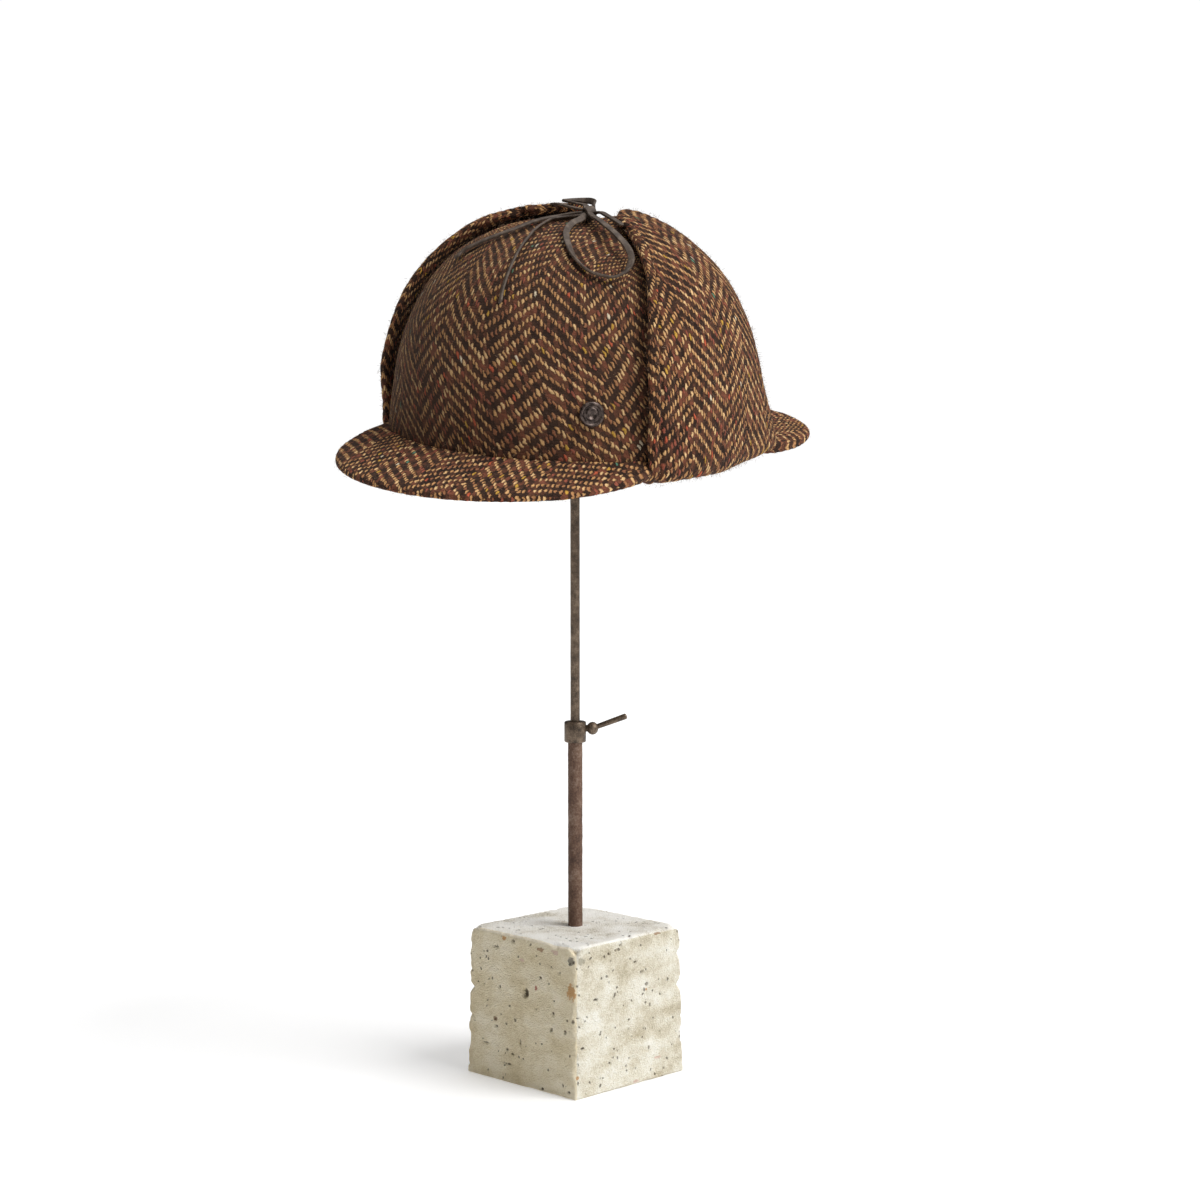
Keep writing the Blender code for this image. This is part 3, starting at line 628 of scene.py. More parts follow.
# The crown's haze, partly painted shade: the least share all over, and more low on the front on the
# wearer's right, away from the key light.
nap_and_shade = np.exp(-((turned - CROWN_NAP_SHADE_TURN) / CROWN_NAP_SHADE_SPREAD) ** 2)
nap_and_shade = CROWN_NAP_SHADE_LEAST + nap_and_shade * np.clip(1.25 - outside[:, 2] / 0.07, 0, 1)
nap_and_shade = np.minimum(nap_and_shade, CROWN_NAP_SHADE_MOST)
lift = unevenness(outside, 38, 0.0007, 1) + wale(cloth_map, WALE_HEIGHT)
beside_knot = np.hypot(outside[:, 0] - SWELL_X, outside[:, 1] - SWELL_Y)
lift += SWELL_HEIGHT * np.exp(-((beside_knot / SWELL_SPREAD) ** 2)) * (outside[:, 2] > 0)
outside = outside + normals * lift[:, None]
inner_rim = crown_point(directions[:CROWN_COLUMNS], -CLOTH_WALL)
coarse = np.arange(CROWN_COLUMNS * CROWN_ROWS).reshape(CROWN_ROWS, CROWN_COLUMNS)[::5, ::4]
inside = crown_point(directions[coarse.ravel()], -CLOTH_WALL)
count = CROWN_COLUMNS * CROWN_ROWS
faces = grid_faces(CROWN_ROWS, CROWN_COLUMNS, closed=True)
ring = np.arange(CROWN_COLUMNS)
after = (ring + 1) % CROWN_COLUMNS
rim = np.stack((ring + count, after + count, after, ring), -1)
top_ring = np.arange(count - CROWN_COLUMNS, count)
inner_faces = grid_faces(*coarse.shape, closed=True)[:, ::-1] + count + CROWN_COLUMNS
inner_top = np.arange(coarse.shape[1])[::-1] + count + CROWN_COLUMNS + coarse.size - coarse.shape[1]
faces = [*faces, *rim, *inner_faces, top_ring, inner_top]
within = np.append(ring, coarse.ravel())
add_cloth(
    "crown_cloth", np.vstack((outside, inner_rim, inside)), faces,
    np.vstack((cloth_map, cloth_map[within])), np.append(nap_and_shade, nap_and_shade[within]), "crown",
    CROWN_HAIRS, 3,
)

# Peaks: two stiffened tweed brims sewn under the rim, the front one sloping down and the back
# one nearly level. Their stripes run from front to back.
PEAK_COLUMNS, PEAK_ROWS = 200, 46
PEAK_THICKNESS = 0.0045
PEAK_TO_FLAP = 0.0015
PEAK_UNDER_FLAP = radians(6)
PEAK_TAPER = radians(7.5)
GAP = 0.0003
FLAP_HALF_LENGTH = 0.05


def cloth_pad(outer, inner, rows, columns):
    """Joins an outer and an inner sheet, which meet along their borders, into one closed pad."""
    faces = grid_faces(rows, columns)
    index = np.arange(rows * columns).reshape(rows, columns)
    border = np.ones((rows, columns), bool)
    border[1:-1, 1:-1] = False
    inner_index = np.where(border, index, 0)
    inner_index[~border] = rows * columns + np.arange((~border).sum())
    points = np.vstack((outer.reshape(-1, 3), inner[~border]))
    inner_faces = inner_index.ravel()[faces][:, ::-1]
    return points, np.vstack((faces, inner_faces)), ~border


def fine_ends(count, sharp):
    """Shares from 0 to 1 that crowd together at both ends, for a rounded edge."""
    t = np.linspace(0, 1, count)
    return t - sharp * np.sin(2 * pi * t) / (2 * pi)


for name, facing, depth, slope, side_drop, roundness, flap_edge, seed in (
    ("front_peak", 1, 0.0406, 0.304, 0.0025, 1.0, 0.98, 5),
    ("back_peak", -1, 0.058, -0.045, 0.004, 0.6, 1.17, 7),
):
    end = np.arccos(flap_edge * FLAP_HALF_LENGTH / CROWN_HALF[1]) - PEAK_TO_FLAP / CROWN_HALF[0]
    across, along = np.meshgrid(fine_ends(PEAK_COLUMNS, 0.6), fine_ends(PEAK_ROWS, 0.85))
    turn = (2 * across - 1) * (end + PEAK_UNDER_FLAP)
    width = depth * np.maximum(np.cos(pi / 2 * turn / (end + PEAK_TAPER)), 0) ** roundness
    outward = -CLOTH_WALL + (CLOTH_WALL + width) * along
    fall = np.maximum(outward, 0)
    side = side_drop * np.sin(turn) ** 2 * fall / np.maximum(width, CLOTH_WALL)
    flat = np.stack((np.sin(turn), -np.cos(turn) * facing, np.zeros_like(turn)), -1)
    middle = crown_point(flat, outward)
    middle[..., 2] = -GAP - PEAK_THICKNESS / 2 - slope * fall - side
    edge = (1 - np.abs(2 * along - 1) ** 14) ** 0.5 * (1 - np.abs(2 * across - 1) ** 40) ** 0.5
    half = (PEAK_THICKNESS / 2 * edge)[..., None] * np.array((0, 0, 1.0))
    edge_fold = PEAK_THICKNESS * 0.6 * (1 - edge) * np.sign(along - 0.5) * (along > 0.5)
    cloth_map = np.stack((
        middle[..., 0] / END_PITCH, (middle[..., 1] - edge_fold * facing) / PICK_PITCH,
    ), -1)
    lift = unevenness(middle.reshape(-1, 3), 40, 0.0005, seed).reshape(width.shape)
    lift += wale(cloth_map.reshape(-1, 2), PEAK_WALE_HEIGHT).reshape(width.shape)
    half[..., 2] += lift * edge
    points, faces, inside = cloth_pad(middle + half, middle - half, PEAK_ROWS, PEAK_COLUMNS)
    faces = faces if facing == 1 else faces[:, ::-1]
    cloth_map = np.vstack((cloth_map.reshape(-1, 2), cloth_map[inside]))
    add_cloth(
        name + "_cloth", points, faces, cloth_map, np.zeros(len(points)), name, PEAK_HAIRS, seed
    )

# Ear flaps: padded tweed flaps folded up against the sides of the crown. Each has a thick turned
# edge, and it stands off the crown most at its back corner.
FLAP_COLUMNS, FLAP_ROWS, FLAP_FOLD_ROWS = 150, 190, 34
FLAP_THICKNESS = 0.0045
FLAP_PUFF = 0.0018
FLAP_REAR_FLARE = 0.011
FLAP_FRONT_DROP = 0.0092
FLAP_REAR_DROP = 0.0056
FLAP_TUCK = 0.003
FLAP_TIP_SLANT = radians(5)
FLAP_TIP_ROUND = radians(3)
# Rows: climb, front edge, rear edge, puff and flare.
FLAP_SECTIONS = np.array((
    (0.00, -0.98, 1.17, 1.0, 1.00),
    (0.09, -1.01, 1.14, 1.0, 0.72),
    (0.22, -1.01, 1.08, 1.0, 0.30),
    (0.35, -0.97, 0.98, 1.0, 0.05),
    (0.47, -0.88, 0.86, 1.0, 0.00),
    (0.58, -0.75, 0.74, 0.9, 0.00),
    (0.68, -0.61, 0.63, 0.7, 0.00),
    (0.78, -0.50, 0.53, 0.4, 0.00),
    (0.89, -0.36, 0.42, 0.2, 0.00),
    (1.00, -0.24, 0.30, 0.0, 0.00),
))
FLAP_VALLEY = -0.003
WELT_WIDTH, WELT_ROUND, WELT_RISE = 0.0055, 0.0022, 0.0006
SEAM_WIDTH, SEAM_DEPTH = 0.0010, 0.0015
FLAP_EXTRA_DROP = 0.0018
FLAP_FRONT_LIFT = 0.0032
FLAP_TIP_PUFF = 0.0022

for name, side, reach, seed in (
    ("left_flap", 1, radians(78), 11), ("right_flap", -1, radians(83), 13),
):
    across, row = np.meshgrid(
        fine_ends(FLAP_COLUMNS, 0.8), fine_ends(FLAP_ROWS, 0.5) * (FLAP_ROWS - 1)
    )
    climb = np.maximum(row - FLAP_FOLD_ROWS, 0) / (FLAP_ROWS - 1 - FLAP_FOLD_ROWS)
    front, rear, puff, flare = (
        np.interp(climb, FLAP_SECTIONS[:, 0], FLAP_SECTIONS[:, k]) for k in (1, 2, 3, 4)
    )
    share = (front + (rear - front) * across) * FLAP_HALF_LENGTH / CROWN_HALF[1]
    stand_off = FLAP_REAR_FLARE * flare * np.maximum(2 * across - 1, 0) ** 2
    front_lift = np.clip(1 - across * 7, 0, 1) ** 1.5 * np.clip(5 - 5 * climb, 0, 1)
    stand_off += FLAP_FRONT_LIFT * front_lift * np.clip(climb * 8 - 0.5, 0, 1)
    stand_off += FLAP_TIP_PUFF * np.clip(climb * 4 - 2.8, 0, 1) * (0.7 + 0.7 * across)
    lift = GAP + FLAP_THICKNESS / 2 + FLAP_PUFF * puff + stand_off
    lean = (2 * across - 1) * FLAP_TIP_SLANT * climb**2
    arch = reach * climb + lean - FLAP_TIP_ROUND * climb**6 * (2 * across - 1) ** 4
    flat = np.sqrt(1 - share**2)
    up = crown_point(np.stack((flat * np.cos(arch), share, flat * np.sin(arch)), -1), lift)
    rim = crown_point(np.stack((flat, share, np.zeros_like(share)), -1))
    out = crown_normal(rim)
    fold = np.clip(1 - row / FLAP_FOLD_ROWS, 0, 1)
    drop = FLAP_FRONT_DROP + (FLAP_REAR_DROP - FLAP_FRONT_DROP) * across - FLAP_THICKNESS / 2
    angle = np.minimum(fold * 4 / 3, 1) * pi / 2
    tuck = FLAP_TUCK * np.clip(fold * 4 - 3, 0, 1)
    under = rim + out * (lift * np.cos(angle) - tuck)[..., None]
    under[..., 2] -= (drop + FLAP_EXTRA_DROP) * np.sin(angle)
    middle = np.where((row > FLAP_FOLD_ROWS)[..., None], up, under)
    middle[..., 0] *= side
    down_row, down_column = np.gradient(middle, axis=0), np.gradient(middle, axis=1)
    normal = np.cross(down_column, down_row) * side
    normal /= np.linalg.norm(normal, axis=-1, keepdims=True)
    edge = (1 - np.abs(2 * across - 1) ** 30) ** 0.5
    edge = edge * (1 - np.abs(2 * row / (FLAP_ROWS - 1) - 1) ** 70) ** 0.5
    length = np.cumsum(np.linalg.norm(down_row, axis=-1), axis=0)
    edge_fold = FLAP_THICKNESS * 0.75 * (1 - edge) * np.sign(across - 0.5)
    cloth_map = np.stack((
        (middle[..., 1] + edge_fold - FLAP_VALLEY) / END_PITCH, length / PICK_PITCH,
    ), -1)
    from_front = across * (rear - front) * FLAP_HALF_LENGTH
    seam = np.exp(-(((from_front - WELT_WIDTH) / SEAM_WIDTH) ** 2)) * SEAM_DEPTH
    seam -= np.exp(-(((from_front - WELT_WIDTH / 2) / WELT_ROUND) ** 2)) * WELT_RISE
    swell = unevenness(middle.reshape(-1, 3), 36, 0.0009, seed).reshape(edge.shape)
    swell += wale(cloth_map.reshape(-1, 2), WALE_HEIGHT).reshape(edge.shape)
    half = normal * ((FLAP_THICKNESS / 2) * edge)[..., None]
    face = normal * ((swell - seam) * edge)[..., None]
    points, faces, inside = cloth_pad(middle + half + face, middle - half, FLAP_ROWS, FLAP_COLUMNS)
    faces = faces if side == 1 else faces[:, ::-1]
    cloth_map = np.vstack((cloth_map.reshape(-1, 2), cloth_map[inside]))
    flap = add_cloth(
        name + "_cloth", points, faces, cloth_map, np.zeros(len(points)), name, FLAP_HAIRS, seed
    )


# Button: a small round button of dark bronzed metal with plain raised rings, sewn low on the
# left front of the crown.
BUTTON_RADIUS = 0.0061
BUTTON_TURN, BUTTON_CLIMB = radians(43.5), radians(12.1)
BUTTON_PROFILE = (
    (0.0, 0.0015), (0.0020, 0.0015), (0.0023, 0.0021), (0.0029, 0.0021), (0.0032, 0.0012),
    (0.0042, 0.0012), (0.0046, 0.0021), (0.0051, 0.0024), (0.0056, 0.0022), (0.0061, 0.0015),
    (0.0061, 0.0007), (0.0056, 0.0), (0.0, 0.0),
)


def metal_material(name, dark, mid, pale, roughness, metallic, scale, bump_depth):
    """A worn metal: its colour changes in blotches and fine specks, and its face is uneven."""
    material, place, add, math, ramp = new_material(name)
    patch = grains(add, place, scale, 6.0, 0.65)
    speck = grains(add, place, scale * 9, 3.0)
    mixed = math("MULTIPLY_ADD", speck, 0.35, math("MULTIPLY", patch, 0.65))
    bump = add("ShaderNodeBump", {"Height": mixed, "Distance": bump_depth, "Strength": 0.8})
    add("Principled BSDF", {
        "Base Color": ramp(mixed, ((0.38, dark), (0.50, mid), (0.64, pale))),
        "Roughness": math("MULTIPLY_ADD", patch, 0.4, roughness - 0.2), "Metallic": metallic,
        "Normal": bump.outputs[0],
    })
    return material


def lathe(profile, steps):
    """Points and faces of a turned piece: profile rows (radius, height) down from its top."""
    radius, height = np.array(profile).T
    turn = np.linspace(0, 2 * pi, steps, endpoint=False)
    radius = np.maximum(radius, 1e-6)[:, None]
    points = np.stack((
        radius * np.cos(turn), radius * np.sin(turn), height[:, None] + 0 * turn
    ), -1)
    return points.reshape(-1, 3), grid_faces(len(profile), steps, closed=True)[:, ::-1]


bronze = metal_material(
    "aged_bronze", (0.050, 0.036, 0.026), (0.120, 0.085, 0.058), (0.27, 0.20, 0.14),
    0.45, 0.55, 240.0, 0.00012,
)
flat = np.array(((
    cos(BUTTON_CLIMB) * sin(BUTTON_TURN), -cos(BUTTON_CLIMB) * cos(BUTTON_TURN), sin(BUTTON_CLIMB),
),))
seat = crown_point(flat, np.array((GAP + BUTTON_RADIUS**2 / (2 * CROWN_HALF[0]),)))[0]
facing = Vector(crown_normal(crown_point(flat))[0]).to_track_quat("Z", "Y").to_matrix()
points, faces = lathe(BUTTON_PROFILE, 64)
points = on_stand(points @ np.array(facing).T + seat)
button_bronze = metal_material(
    "dark_button_bronze", (0.026, 0.019, 0.017), (0.065, 0.048, 0.042), (0.20, 0.15, 0.125),
    0.30, 0.8, 500.0, 0.00006,
)
add_piece("button_face", points, faces, button_bronze, "bronze", "button")


# Stone block: a rough cube of pale cast stone. Its edges are broken, and pits, short cracks and
# bits of aggregate show on it. Places on a face are shares across from its left edge and up.
BLOCK_WIDTH, BLOCK_TOP_WIDTH, BLOCK_HEIGHT = 0.078, 0.076, 0.0757
BLOCK_TURN = radians(-13)
BLOCK_CUTS = 116
EDGE_RADIUS, EDGE_BREAK, TOP_CORNER, FRONT_CORNER = 0.0014, 0.0040, 0.0035, 0.0045
# Rows of pits and pebbles: face, across, up, half width, half height, and depth or tone.
PITS = np.array((
    (0, 0.540, 0.633, 2.4, 3.0, 2.6), (0, 0.292, 0.633, 0.9, 1.1, 1.4),
    (0, 0.148, 0.630, 0.6, 0.7, 0.8), (0, 0.680, 0.757, 1.1, 0.9, 0.9),
    (0, 0.782, 0.845, 0.8, 0.7, 1.0), (0, 0.856, 0.819, 1.3, 0.9, 1.0),
    (0, 0.796, 0.536, 0.9, 1.3, 1.2), (0, 0.778, 0.430, 1.1, 1.6, 1.6),
    (0, 0.907, 0.434, 0.9, 1.3, 1.3), (0, 0.267, 0.362, 1.4, 0.7, 1.1),
    (0, 0.370, 0.219, 1.1, 1.2, 1.4), (0, 0.496, 0.289, 0.6, 2.4, 1.2),
    (0, 0.170, 0.233, 3.6, 0.5, 1.0), (0, 0.252, 0.900, 3.6, 0.5, 1.0),
    (0, 0.378, 0.125, 4.2, 0.6, 0.9), (0, 0.519, 0.183, 0.8, 0.8, 0.8),
    (0, 0.644, 0.543, 0.6, 1.0, 0.9), (0, 0.940, 0.043, 1.2, 0.9, 1.0),
    (0, 0.700, 0.020, 1.6, 0.8, 0.8), (0, 0.420, 0.960, 1.8, 1.0, 0.9),
    (1, 0.618, 0.745, 1.7, 0.8, 1.5), (1, 0.556, 0.823, 1.4, 0.7, 1.2),
    (1, 0.510, 0.850, 0.9, 0.6, 0.9), (1, 0.184, 0.632, 2.0, 0.9, 1.5),
    (1, 0.346, 0.612, 0.7, 0.7, 0.9), (1, 0.662, 0.656, 1.5, 1.2, 0.8),
    (1, 0.790, 0.567, 1.0, 0.8, 0.9), (1, 0.313, 0.187, 1.2, 1.0, 1.3),
    (1, 0.490, 0.189, 0.7, 0.6, 0.8), (1, 0.020, 0.535, 2.4, 0.5, 1.0),
    (1, 0.625, 0.363, 0.8, 0.6, 0.7), (1, 0.490, 0.386, 0.8, 0.6, 0.7),
    (1, 0.235, 0.504, 0.8, 0.6, 0.7), (1, 0.310, 0.917, 1.3, 1.0, 1.1),
    (1, 0.375, 0.929, 1.0, 0.8, 1.0), (1, 0.420, 0.955, 1.4, 1.0, 1.0),
    (1, 0.900, 0.200, 0.8, 0.6, 0.8), (1, 0.060, 0.330, 1.8, 1.1, 0.9),
))
PEBBLES = np.array((
    (0, 0.965, 0.707, 3.3, 4.2, 0.05), (0, 0.963, 0.907, 2.6, 1.8, 0.55),
    (1, 0.050, 0.908, 2.6, 2.1, 0.75), (0, 0.680, 0.945, 2.6, 1.1, 0.15),
    (0, 0.340, 0.966, 1.5, 1.3, 0.05), (0, 0.815, 0.947, 2.6, 1.2, 0.90),
    (0, 0.259, 0.412, 1.6, 1.3, 0.25), (0, 0.644, 0.683, 1.1, 1.3, 0.35),
    (0, 0.504, 0.847, 2.6, 0.8, 0.90), (1, 0.772, 0.983, 3.0, 1.0, 0.20),
    (1, 0.657, 0.623, 0.8, 0.8, 0.05), (1, 0.018, 0.146, 0.9, 1.1, 0.05),
    (1, 0.757, 0.142, 2.8, 0.7, 0.90), (1, 0.550, 0.020, 2.4, 0.8, 0.90),
))
# Rows: the edge's side in x and in y, height up it, half height and depth.
NOTCHES = np.array((
    (1, 1, 0.80, 5.0, 4.4), (1, 1, 0.60, 4.5, 2.4), (1, 1, 0.21, 2.5, 1.2), (1, 1, 0.38, 2.0, 0.8),
    (-1, -1, 0.71, 1.6, 1.0), (-1, -1, 0.585, 3.2, 2.4), (-1, -1, 0.40, 2.2, 1.6),
    (-1, -1, 0.16, 2.6, 0.9), (1, -1, 0.93, 4.6, 3.4), (1, -1, 0.78, 3.2, 1.0),
    (1, -1, 0.48, 3.6, 1.3), (1, -1, 0.33, 2.6, 1.1), (1, -1, 0.17, 2.4, 0.9),
    (-1, 1, 0.66, 4.0, 2.0), (-1, 1, 0.30, 3.0, 1.6),
))
bm = bmesh.new()
bmesh.ops.create_cube(bm, size=2.0)
bmesh.ops.subdivide_edges(bm, edges=bm.edges[:], cuts=BLOCK_CUTS, use_grid_fill=True)
block_mesh = bpy.data.meshes.new("block_stone")
bm.to_mesh(block_mesh)
bm.free()
share = np.empty(len(block_mesh.vertices) * 3)
block_mesh.vertices.foreach_get("co", share)
share = share.reshape(-1, 3)
wide = BLOCK_WIDTH + (BLOCK_TOP_WIDTH - BLOCK_WIDTH) * (share[:, 2:] + 1) / 2
half = np.hstack((wide / 2, wide / 2, np.full_like(wide, BLOCK_HEIGHT / 2)))
points = share * half
broken = unevenness(points, 70, 1.0, 41) + unevenness(points, 210, 0.7, 42)
top_corner = np.prod(np.clip(np.abs(share) * 5 - 4, 0, 1), axis=1) * (share[:, 2] > 0)
front_corner = top_corner * (share[:, 0] > 0) * (share[:, 1] < 0)
radius = EDGE_RADIUS + EDGE_BREAK * np.clip(broken, 0, 1)
radius = radius + TOP_CORNER * top_corner + FRONT_CORNER * front_corner
radius = (radius * np.where(share[:, 2] < -0.9, 0.4, 1.0))[:, None]
kept = np.clip(points, radius - half, half - radius)
away = points - kept
away /= np.maximum(np.linalg.norm(away, axis=1, keepdims=True), 1e-9)
points = kept + away * radius
up_share = (share[:, 2] + 1) / 2
near_edge = np.clip(np.minimum(np.abs(share[:, 0]), np.abs(share[:, 1])) * 7 - 6, 0, 1)
notch = np.zeros(len(points))
for side_x, side_y, up_place, tall, deep in NOTCHES:
    at_edge = (share[:, 0] * side_x > 0) & (share[:, 1] * side_y > 0)
    gap = np.abs(up_share - up_place) * BLOCK_HEIGHT * 1000 / tall
    notch += np.where(at_edge, np.clip(1 - gap, 0, 1) ** 1.4 * deep / 1000 * near_edge, 0)
points[:, :2] -= share[:, :2] / 1.42 * (notch * np.clip(0.6 + 1.3 * broken, 0, 2))[:, None]
across_faces = ((share[:, 1] < -0.97, share[:, 0]), (share[:, 0] > 0.97, share[:, 1]))


def distance_on_faces(rows):
    """The least distance, in shares of a mark's size, from each point to the marks, and which."""
    least, nearest = np.full(len(points), 9.0), np.zeros(len(points), int)
    for k, (face, across, up_place, wide_mark, tall_mark, _) in enumerate(rows):
        on_face, place_across = across_faces[int(face)]
        aside = ((place_across + 1) / 2 - across) * BLOCK_WIDTH * 1000 / wide_mark
        above = (up_share - up_place) * BLOCK_HEIGHT * 1000 / tall_mark
        distance = np.where(on_face, np.hypot(aside, above), 9.0)
        nearest = np.where(distance < least, k, nearest)
        least = np.minimum(least, distance)
    return least, nearest


pit_distance, pit = distance_on_faces(PITS)
pebble_distance, pebble = distance_on_faces(PEBBLES)
deep = np.clip(1 - pit_distance**2, 0, 1) * PITS[pit, 5] / 1000
grit = unevenness(points, 900, 0.00012, 43) + unevenness(points, 330, 0.00022, 44)
bed = unevenness(points * np.array((0.25, 0.25, 1.0)), 130, 0.00030, 45)
points -= away * (deep - grit - bed - 0.0002)[:, None] * (share[:, 2:] > -0.999)
points[:, 2] = np.clip(points[:, 2] + BLOCK_HEIGHT / 2, 0, BLOCK_HEIGHT + 0.0003)
points[:, :2] = points[:, :2] @ np.array(Matrix.Rotation(BLOCK_TURN, 2)).T
block_mesh.vertices.foreach_set("co", points.ravel())
# Marks for the stone's colour: pits, pebbles and their tones, worn edges, painted light on the top
# face and painted shade on the front face.
for key, values in (
    ("pit", pit_distance), ("pebble", pebble_distance), ("tone", PEBBLES[pebble, 5]),
    ("worn", near_edge), ("painted_top_light", share[:, 2] > 0.98), ("shade_tint", share[:, 1] < -0.97),
):
    block_mesh.attributes.new(key, "FLOAT", "POINT").data.foreach_set(
        "value", values.astype(np.float32))
block_mesh.shade_smooth()
stone, place, add, math, ramp = new_material("cast_stone")


def marked(name):
    return add("ShaderNodeAttribute", attribute_name=name).outputs["Fac"]


layered = add("ShaderNodeMapping", {"Vector": place, "Scale": (0.35, 0.35, 1.0)}).outputs[0]
cloud = grains(add, place, 55.0, 8.0, 0.66)
bedding = grains(add, layered, 130.0, 5.0)
sand = grains(add, place, 1500.0, 4.0)
mixed = math("MULTIPLY_ADD", sand, 0.30, math("MULTIPLY", cloud, 0.45))
mixed = math("MULTIPLY_ADD", bedding, 0.25, mixed)
base = ramp(mixed, (
    (0.38, (0.44, 0.38, 0.26)), (0.46, (0.62, 0.56, 0.43)), (0.52, (0.75, 0.71, 0.59)),
    (0.60, (0.86, 0.84, 0.76)),
))
dust_and_top_light = math("MULTIPLY", marked("worn"), math("MULTIPLY_ADD", cloud, 3.0, -1.1), clamp=True)
base = mix(add, dust_and_top_light, base, (0.80, 0.77, 0.68, 1.0))
# Painted light: the top face is made paler in patches, as though more strongly lit from above.
dust_and_top_light = math("MULTIPLY", marked("painted_top_light"), math("MULTIPLY_ADD", mixed, 5.0, -1.75, clamp=True))
base = mix(add, dust_and_top_light, base, (0.97, 0.95, 0.89, 1.0))
# Painted shade: the front face, which is turned away from the key light, is tinted warmer and
# yellower.
base = mix(add, math("MULTIPLY", marked("shade_tint"), 0.42), base, (0.86, 0.70, 0.40, 1.0))
lumpy = grains(add, place, 620.0, 2.0)
fine = math("MULTIPLY_ADD", sand, 0.8, math("MULTIPLY_ADD", lumpy, 1.6, -1.2))
pebble_mask = math("MULTIPLY", math("SUBTRACT", math("ADD", 1.0, fine), marked("pebble")), 5.0,
                   clamp=True)
pebble_colour = ramp(marked("tone"), (
    (0.0, (0.50, 0.25, 0.08)), (0.10, (0.33, 0.20, 0.11)), (0.30, (0.42, 0.13, 0.09)),
    (0.50, (0.17, 0.16, 0.13)), (0.70, (0.36, 0.33, 0.25)), (0.85, (0.62, 0.44, 0.36)),
), "CONSTANT")
base = mix(add, math("MULTIPLY", pebble_mask, 0.8), base, pebble_colour)
# Painted shade: the pits and the fine pinholes are darkened toward a near black brown, as shade in
# hollows.
pit_mask = math("MULTIPLY", math("SUBTRACT", math("ADD", 0.85, fine), marked("pit")), 2.2, clamp=True)
bend = add("ShaderNodeTexNoise", {"Vector": place, "Scale": 160.0, "Detail": 2.0}).outputs["Color"]
bent = add("ShaderNodeVectorMath", {0: bend, 1: (0.004, 0.004, 0.004)}, operation="MULTIPLY")
bent = add("ShaderNodeVectorMath", {0: place, 1: bent.outputs[0]}, operation="ADD").outputs[0]
hole = add("ShaderNodeTexVoronoi", {"Vector": bent, "Scale": 480.0})
hole_pick = add("ShaderNodeSeparateColor", {0: hole.outputs["Color"]})
is_hole = math("GREATER_THAN", hole_pick.outputs[0], 0.93)
hole_near = math("MULTIPLY_ADD", hole.outputs["Distance"], -6.0, 2.4, clamp=True)
pinhole = math("MULTIPLY", is_hole, hole_near)
hollow_shade = math("MAXIMUM", pit_mask, math("MULTIPLY", pinhole, 0.8))
base = mix(add, math("MULTIPLY", hollow_shade, 0.90), base, (0.10, 0.08, 0.055, 1.0))
relief = math("SUBTRACT", math("MULTIPLY_ADD", sand, 0.5, mixed), math("MULTIPLY", pinhole, 0.7))
bump = add("ShaderNodeBump", {"Height": relief, "Distance": 0.0014, "Strength": 0.9})
add("Principled BSDF", {
    "Base Color": base, "Roughness": 0.95, "Specular IOR Level": 0.2, "Normal": bump.outputs[0],
})
set_out(block_mesh, stone, "stone", "stone_block")


# Stand metal: a rusted lower tube set in the stone, and a browned rod that slides in it, held by
# a collar with a clamp screw. The disc that carries the hat is hidden inside the crown.
iron = metal_material(
    "rusted_iron", (0.075, 0.040, 0.027), (0.150, 0.085, 0.056), (0.280, 0.195, 0.145),
    0.72, 0.35, 120.0, 0.0004,
)
TUBE_RADIUS, TUBE_TOP = 0.0037, 0.1733
ROD_RADIUS = 0.0024
COLLAR_RADIUS, COLLAR_HEIGHT, COLLAR_OVERLAP = 0.00555, 0.0106, 0.0028
SOCKET_DEPTH = 0.025
SOCKET_FOOT = BLOCK_HEIGHT - SOCKET_DEPTH + GAP
rod_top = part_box("upper_rod")[1].z


def rough_rod(radius, bottom, top, step, amount, seed):
    """A round bar with an uneven face, capped at both ends."""
    rows = int((top - bottom) / step)
    heights = np.linspace(top, bottom, rows)
    profile = [(0.0, top)] + [(radius, z) for z in heights] + [(0.0, bottom)]
    points, faces = lathe(profile, 28)
    radial = points * np.array((1, 1, 0)) / np.maximum(
        np.hypot(points[:, 0], points[:, 1]), 1e-5)[:, None]
    inner = np.hypot(points[:, 0], points[:, 1]) < 1e-5
    bump = unevenness(points, 260, amount, seed) + unevenness(points, 900, amount * 0.6, seed + 1)
    return points + radial * np.where(inner, 0, bump)[:, None], faces


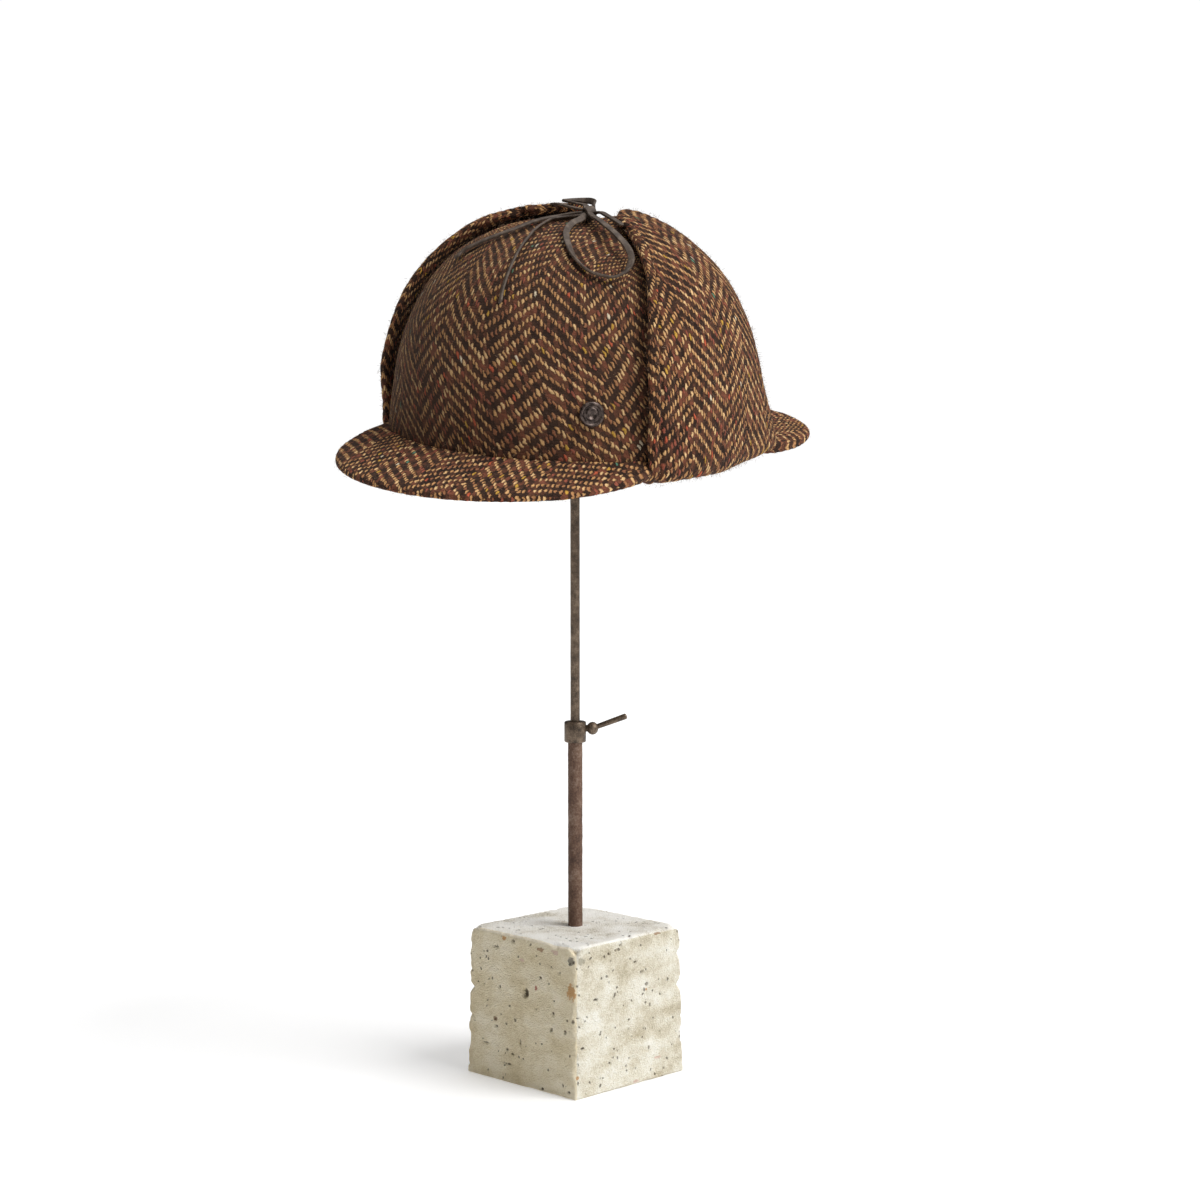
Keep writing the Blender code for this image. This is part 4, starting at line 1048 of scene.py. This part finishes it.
points, faces = rough_rod(TUBE_RADIUS, SOCKET_FOOT, TUBE_TOP, 0.0012, 0.00012, 21)
add_piece("tube_iron", points, faces, iron, "iron", "lower_tube")
points, faces = rough_rod(ROD_RADIUS, TUBE_TOP + GAP, rod_top, 0.002, 0.00005, 23)
add_piece("rod_bronze", points, faces, bronze, "bronze", "upper_rod")
collar_top = TUBE_TOP - COLLAR_OVERLAP + COLLAR_HEIGHT
collar_profile = (
    (ROD_RADIUS + GAP, collar_top - 0.002), (ROD_RADIUS + GAP, collar_top - 0.0002),
    (ROD_RADIUS + 2 * GAP, collar_top), (COLLAR_RADIUS - 0.0006, collar_top),
    (COLLAR_RADIUS - 0.0002, collar_top - 0.0002), (COLLAR_RADIUS, collar_top - 0.0006),
    (COLLAR_RADIUS, collar_top - COLLAR_HEIGHT + 0.0006),
    (COLLAR_RADIUS - 0.0002, collar_top - COLLAR_HEIGHT + 0.0002),
    (COLLAR_RADIUS - 0.0006, collar_top - COLLAR_HEIGHT),
    (TUBE_RADIUS + GAP, collar_top - COLLAR_HEIGHT),
    (TUBE_RADIUS + GAP, collar_top - COLLAR_HEIGHT + 0.002),
)
points, faces = lathe(collar_profile, 48)
add_piece("collar_bronze", points, faces, bronze, "bronze", "clamp_collar")

# Clamp screw: a round bronze nut on a short shank in the collar's side, with a straight lever
# that rises outward, turned by hand to hold the rod.
CLAMP_HEIGHT = TUBE_TOP + GAP + (COLLAR_HEIGHT - COLLAR_OVERLAP) / 2
CLAMP_TURN = radians(32)
NUT_RADIUS = 0.0033
SHANK_RADIUS = 0.0017
LEVER_RADIUS, LEVER_LENGTH, LEVER_RISE = 0.0015, 0.0185, radians(20)
nut_middle = COLLAR_RADIUS + GAP + NUT_RADIUS * 0.9
shank_profile = (
    (0.0, ROD_RADIUS + GAP), (SHANK_RADIUS, ROD_RADIUS + GAP),
    (SHANK_RADIUS, nut_middle - NUT_RADIUS * 0.8),
) + tuple(
    (NUT_RADIUS * sin(a), nut_middle - NUT_RADIUS * 0.9 * cos(a))
    for a in np.linspace(pi * 0.22, pi, 14)
)
shank, shank_faces = lathe(shank_profile, 32)
lever_profile = (
    (0.0, LEVER_LENGTH), (LEVER_RADIUS * 0.6, LEVER_LENGTH),
    (LEVER_RADIUS * 0.92, LEVER_LENGTH - 0.0004), (LEVER_RADIUS, LEVER_LENGTH - 0.0010),
    (LEVER_RADIUS * 0.95, LEVER_LENGTH * 0.5), (LEVER_RADIUS * 0.85, 0.002), (0.0, 0.0),
)
lever, lever_faces = lathe(lever_profile, 24)
lift = Matrix.Translation((0, 0, nut_middle)) @ Matrix.Rotation(-LEVER_RISE, 4, "Y")
lever = lever @ np.array(lift)[:3, :3].T + np.array(lift)[:3, 3]
outward = np.array(Euler((0, pi / 2, CLAMP_TURN)).to_matrix())
points = np.vstack((shank, lever)) @ outward.T + np.array((0, 0, CLAMP_HEIGHT))
faces = np.vstack((shank_faces[:, ::-1], lever_faces + len(shank)))
add_piece("screw_bronze", points, faces, bronze, "bronze", "clamp_screw")
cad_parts["hat_rest"].data.materials[0] = iron
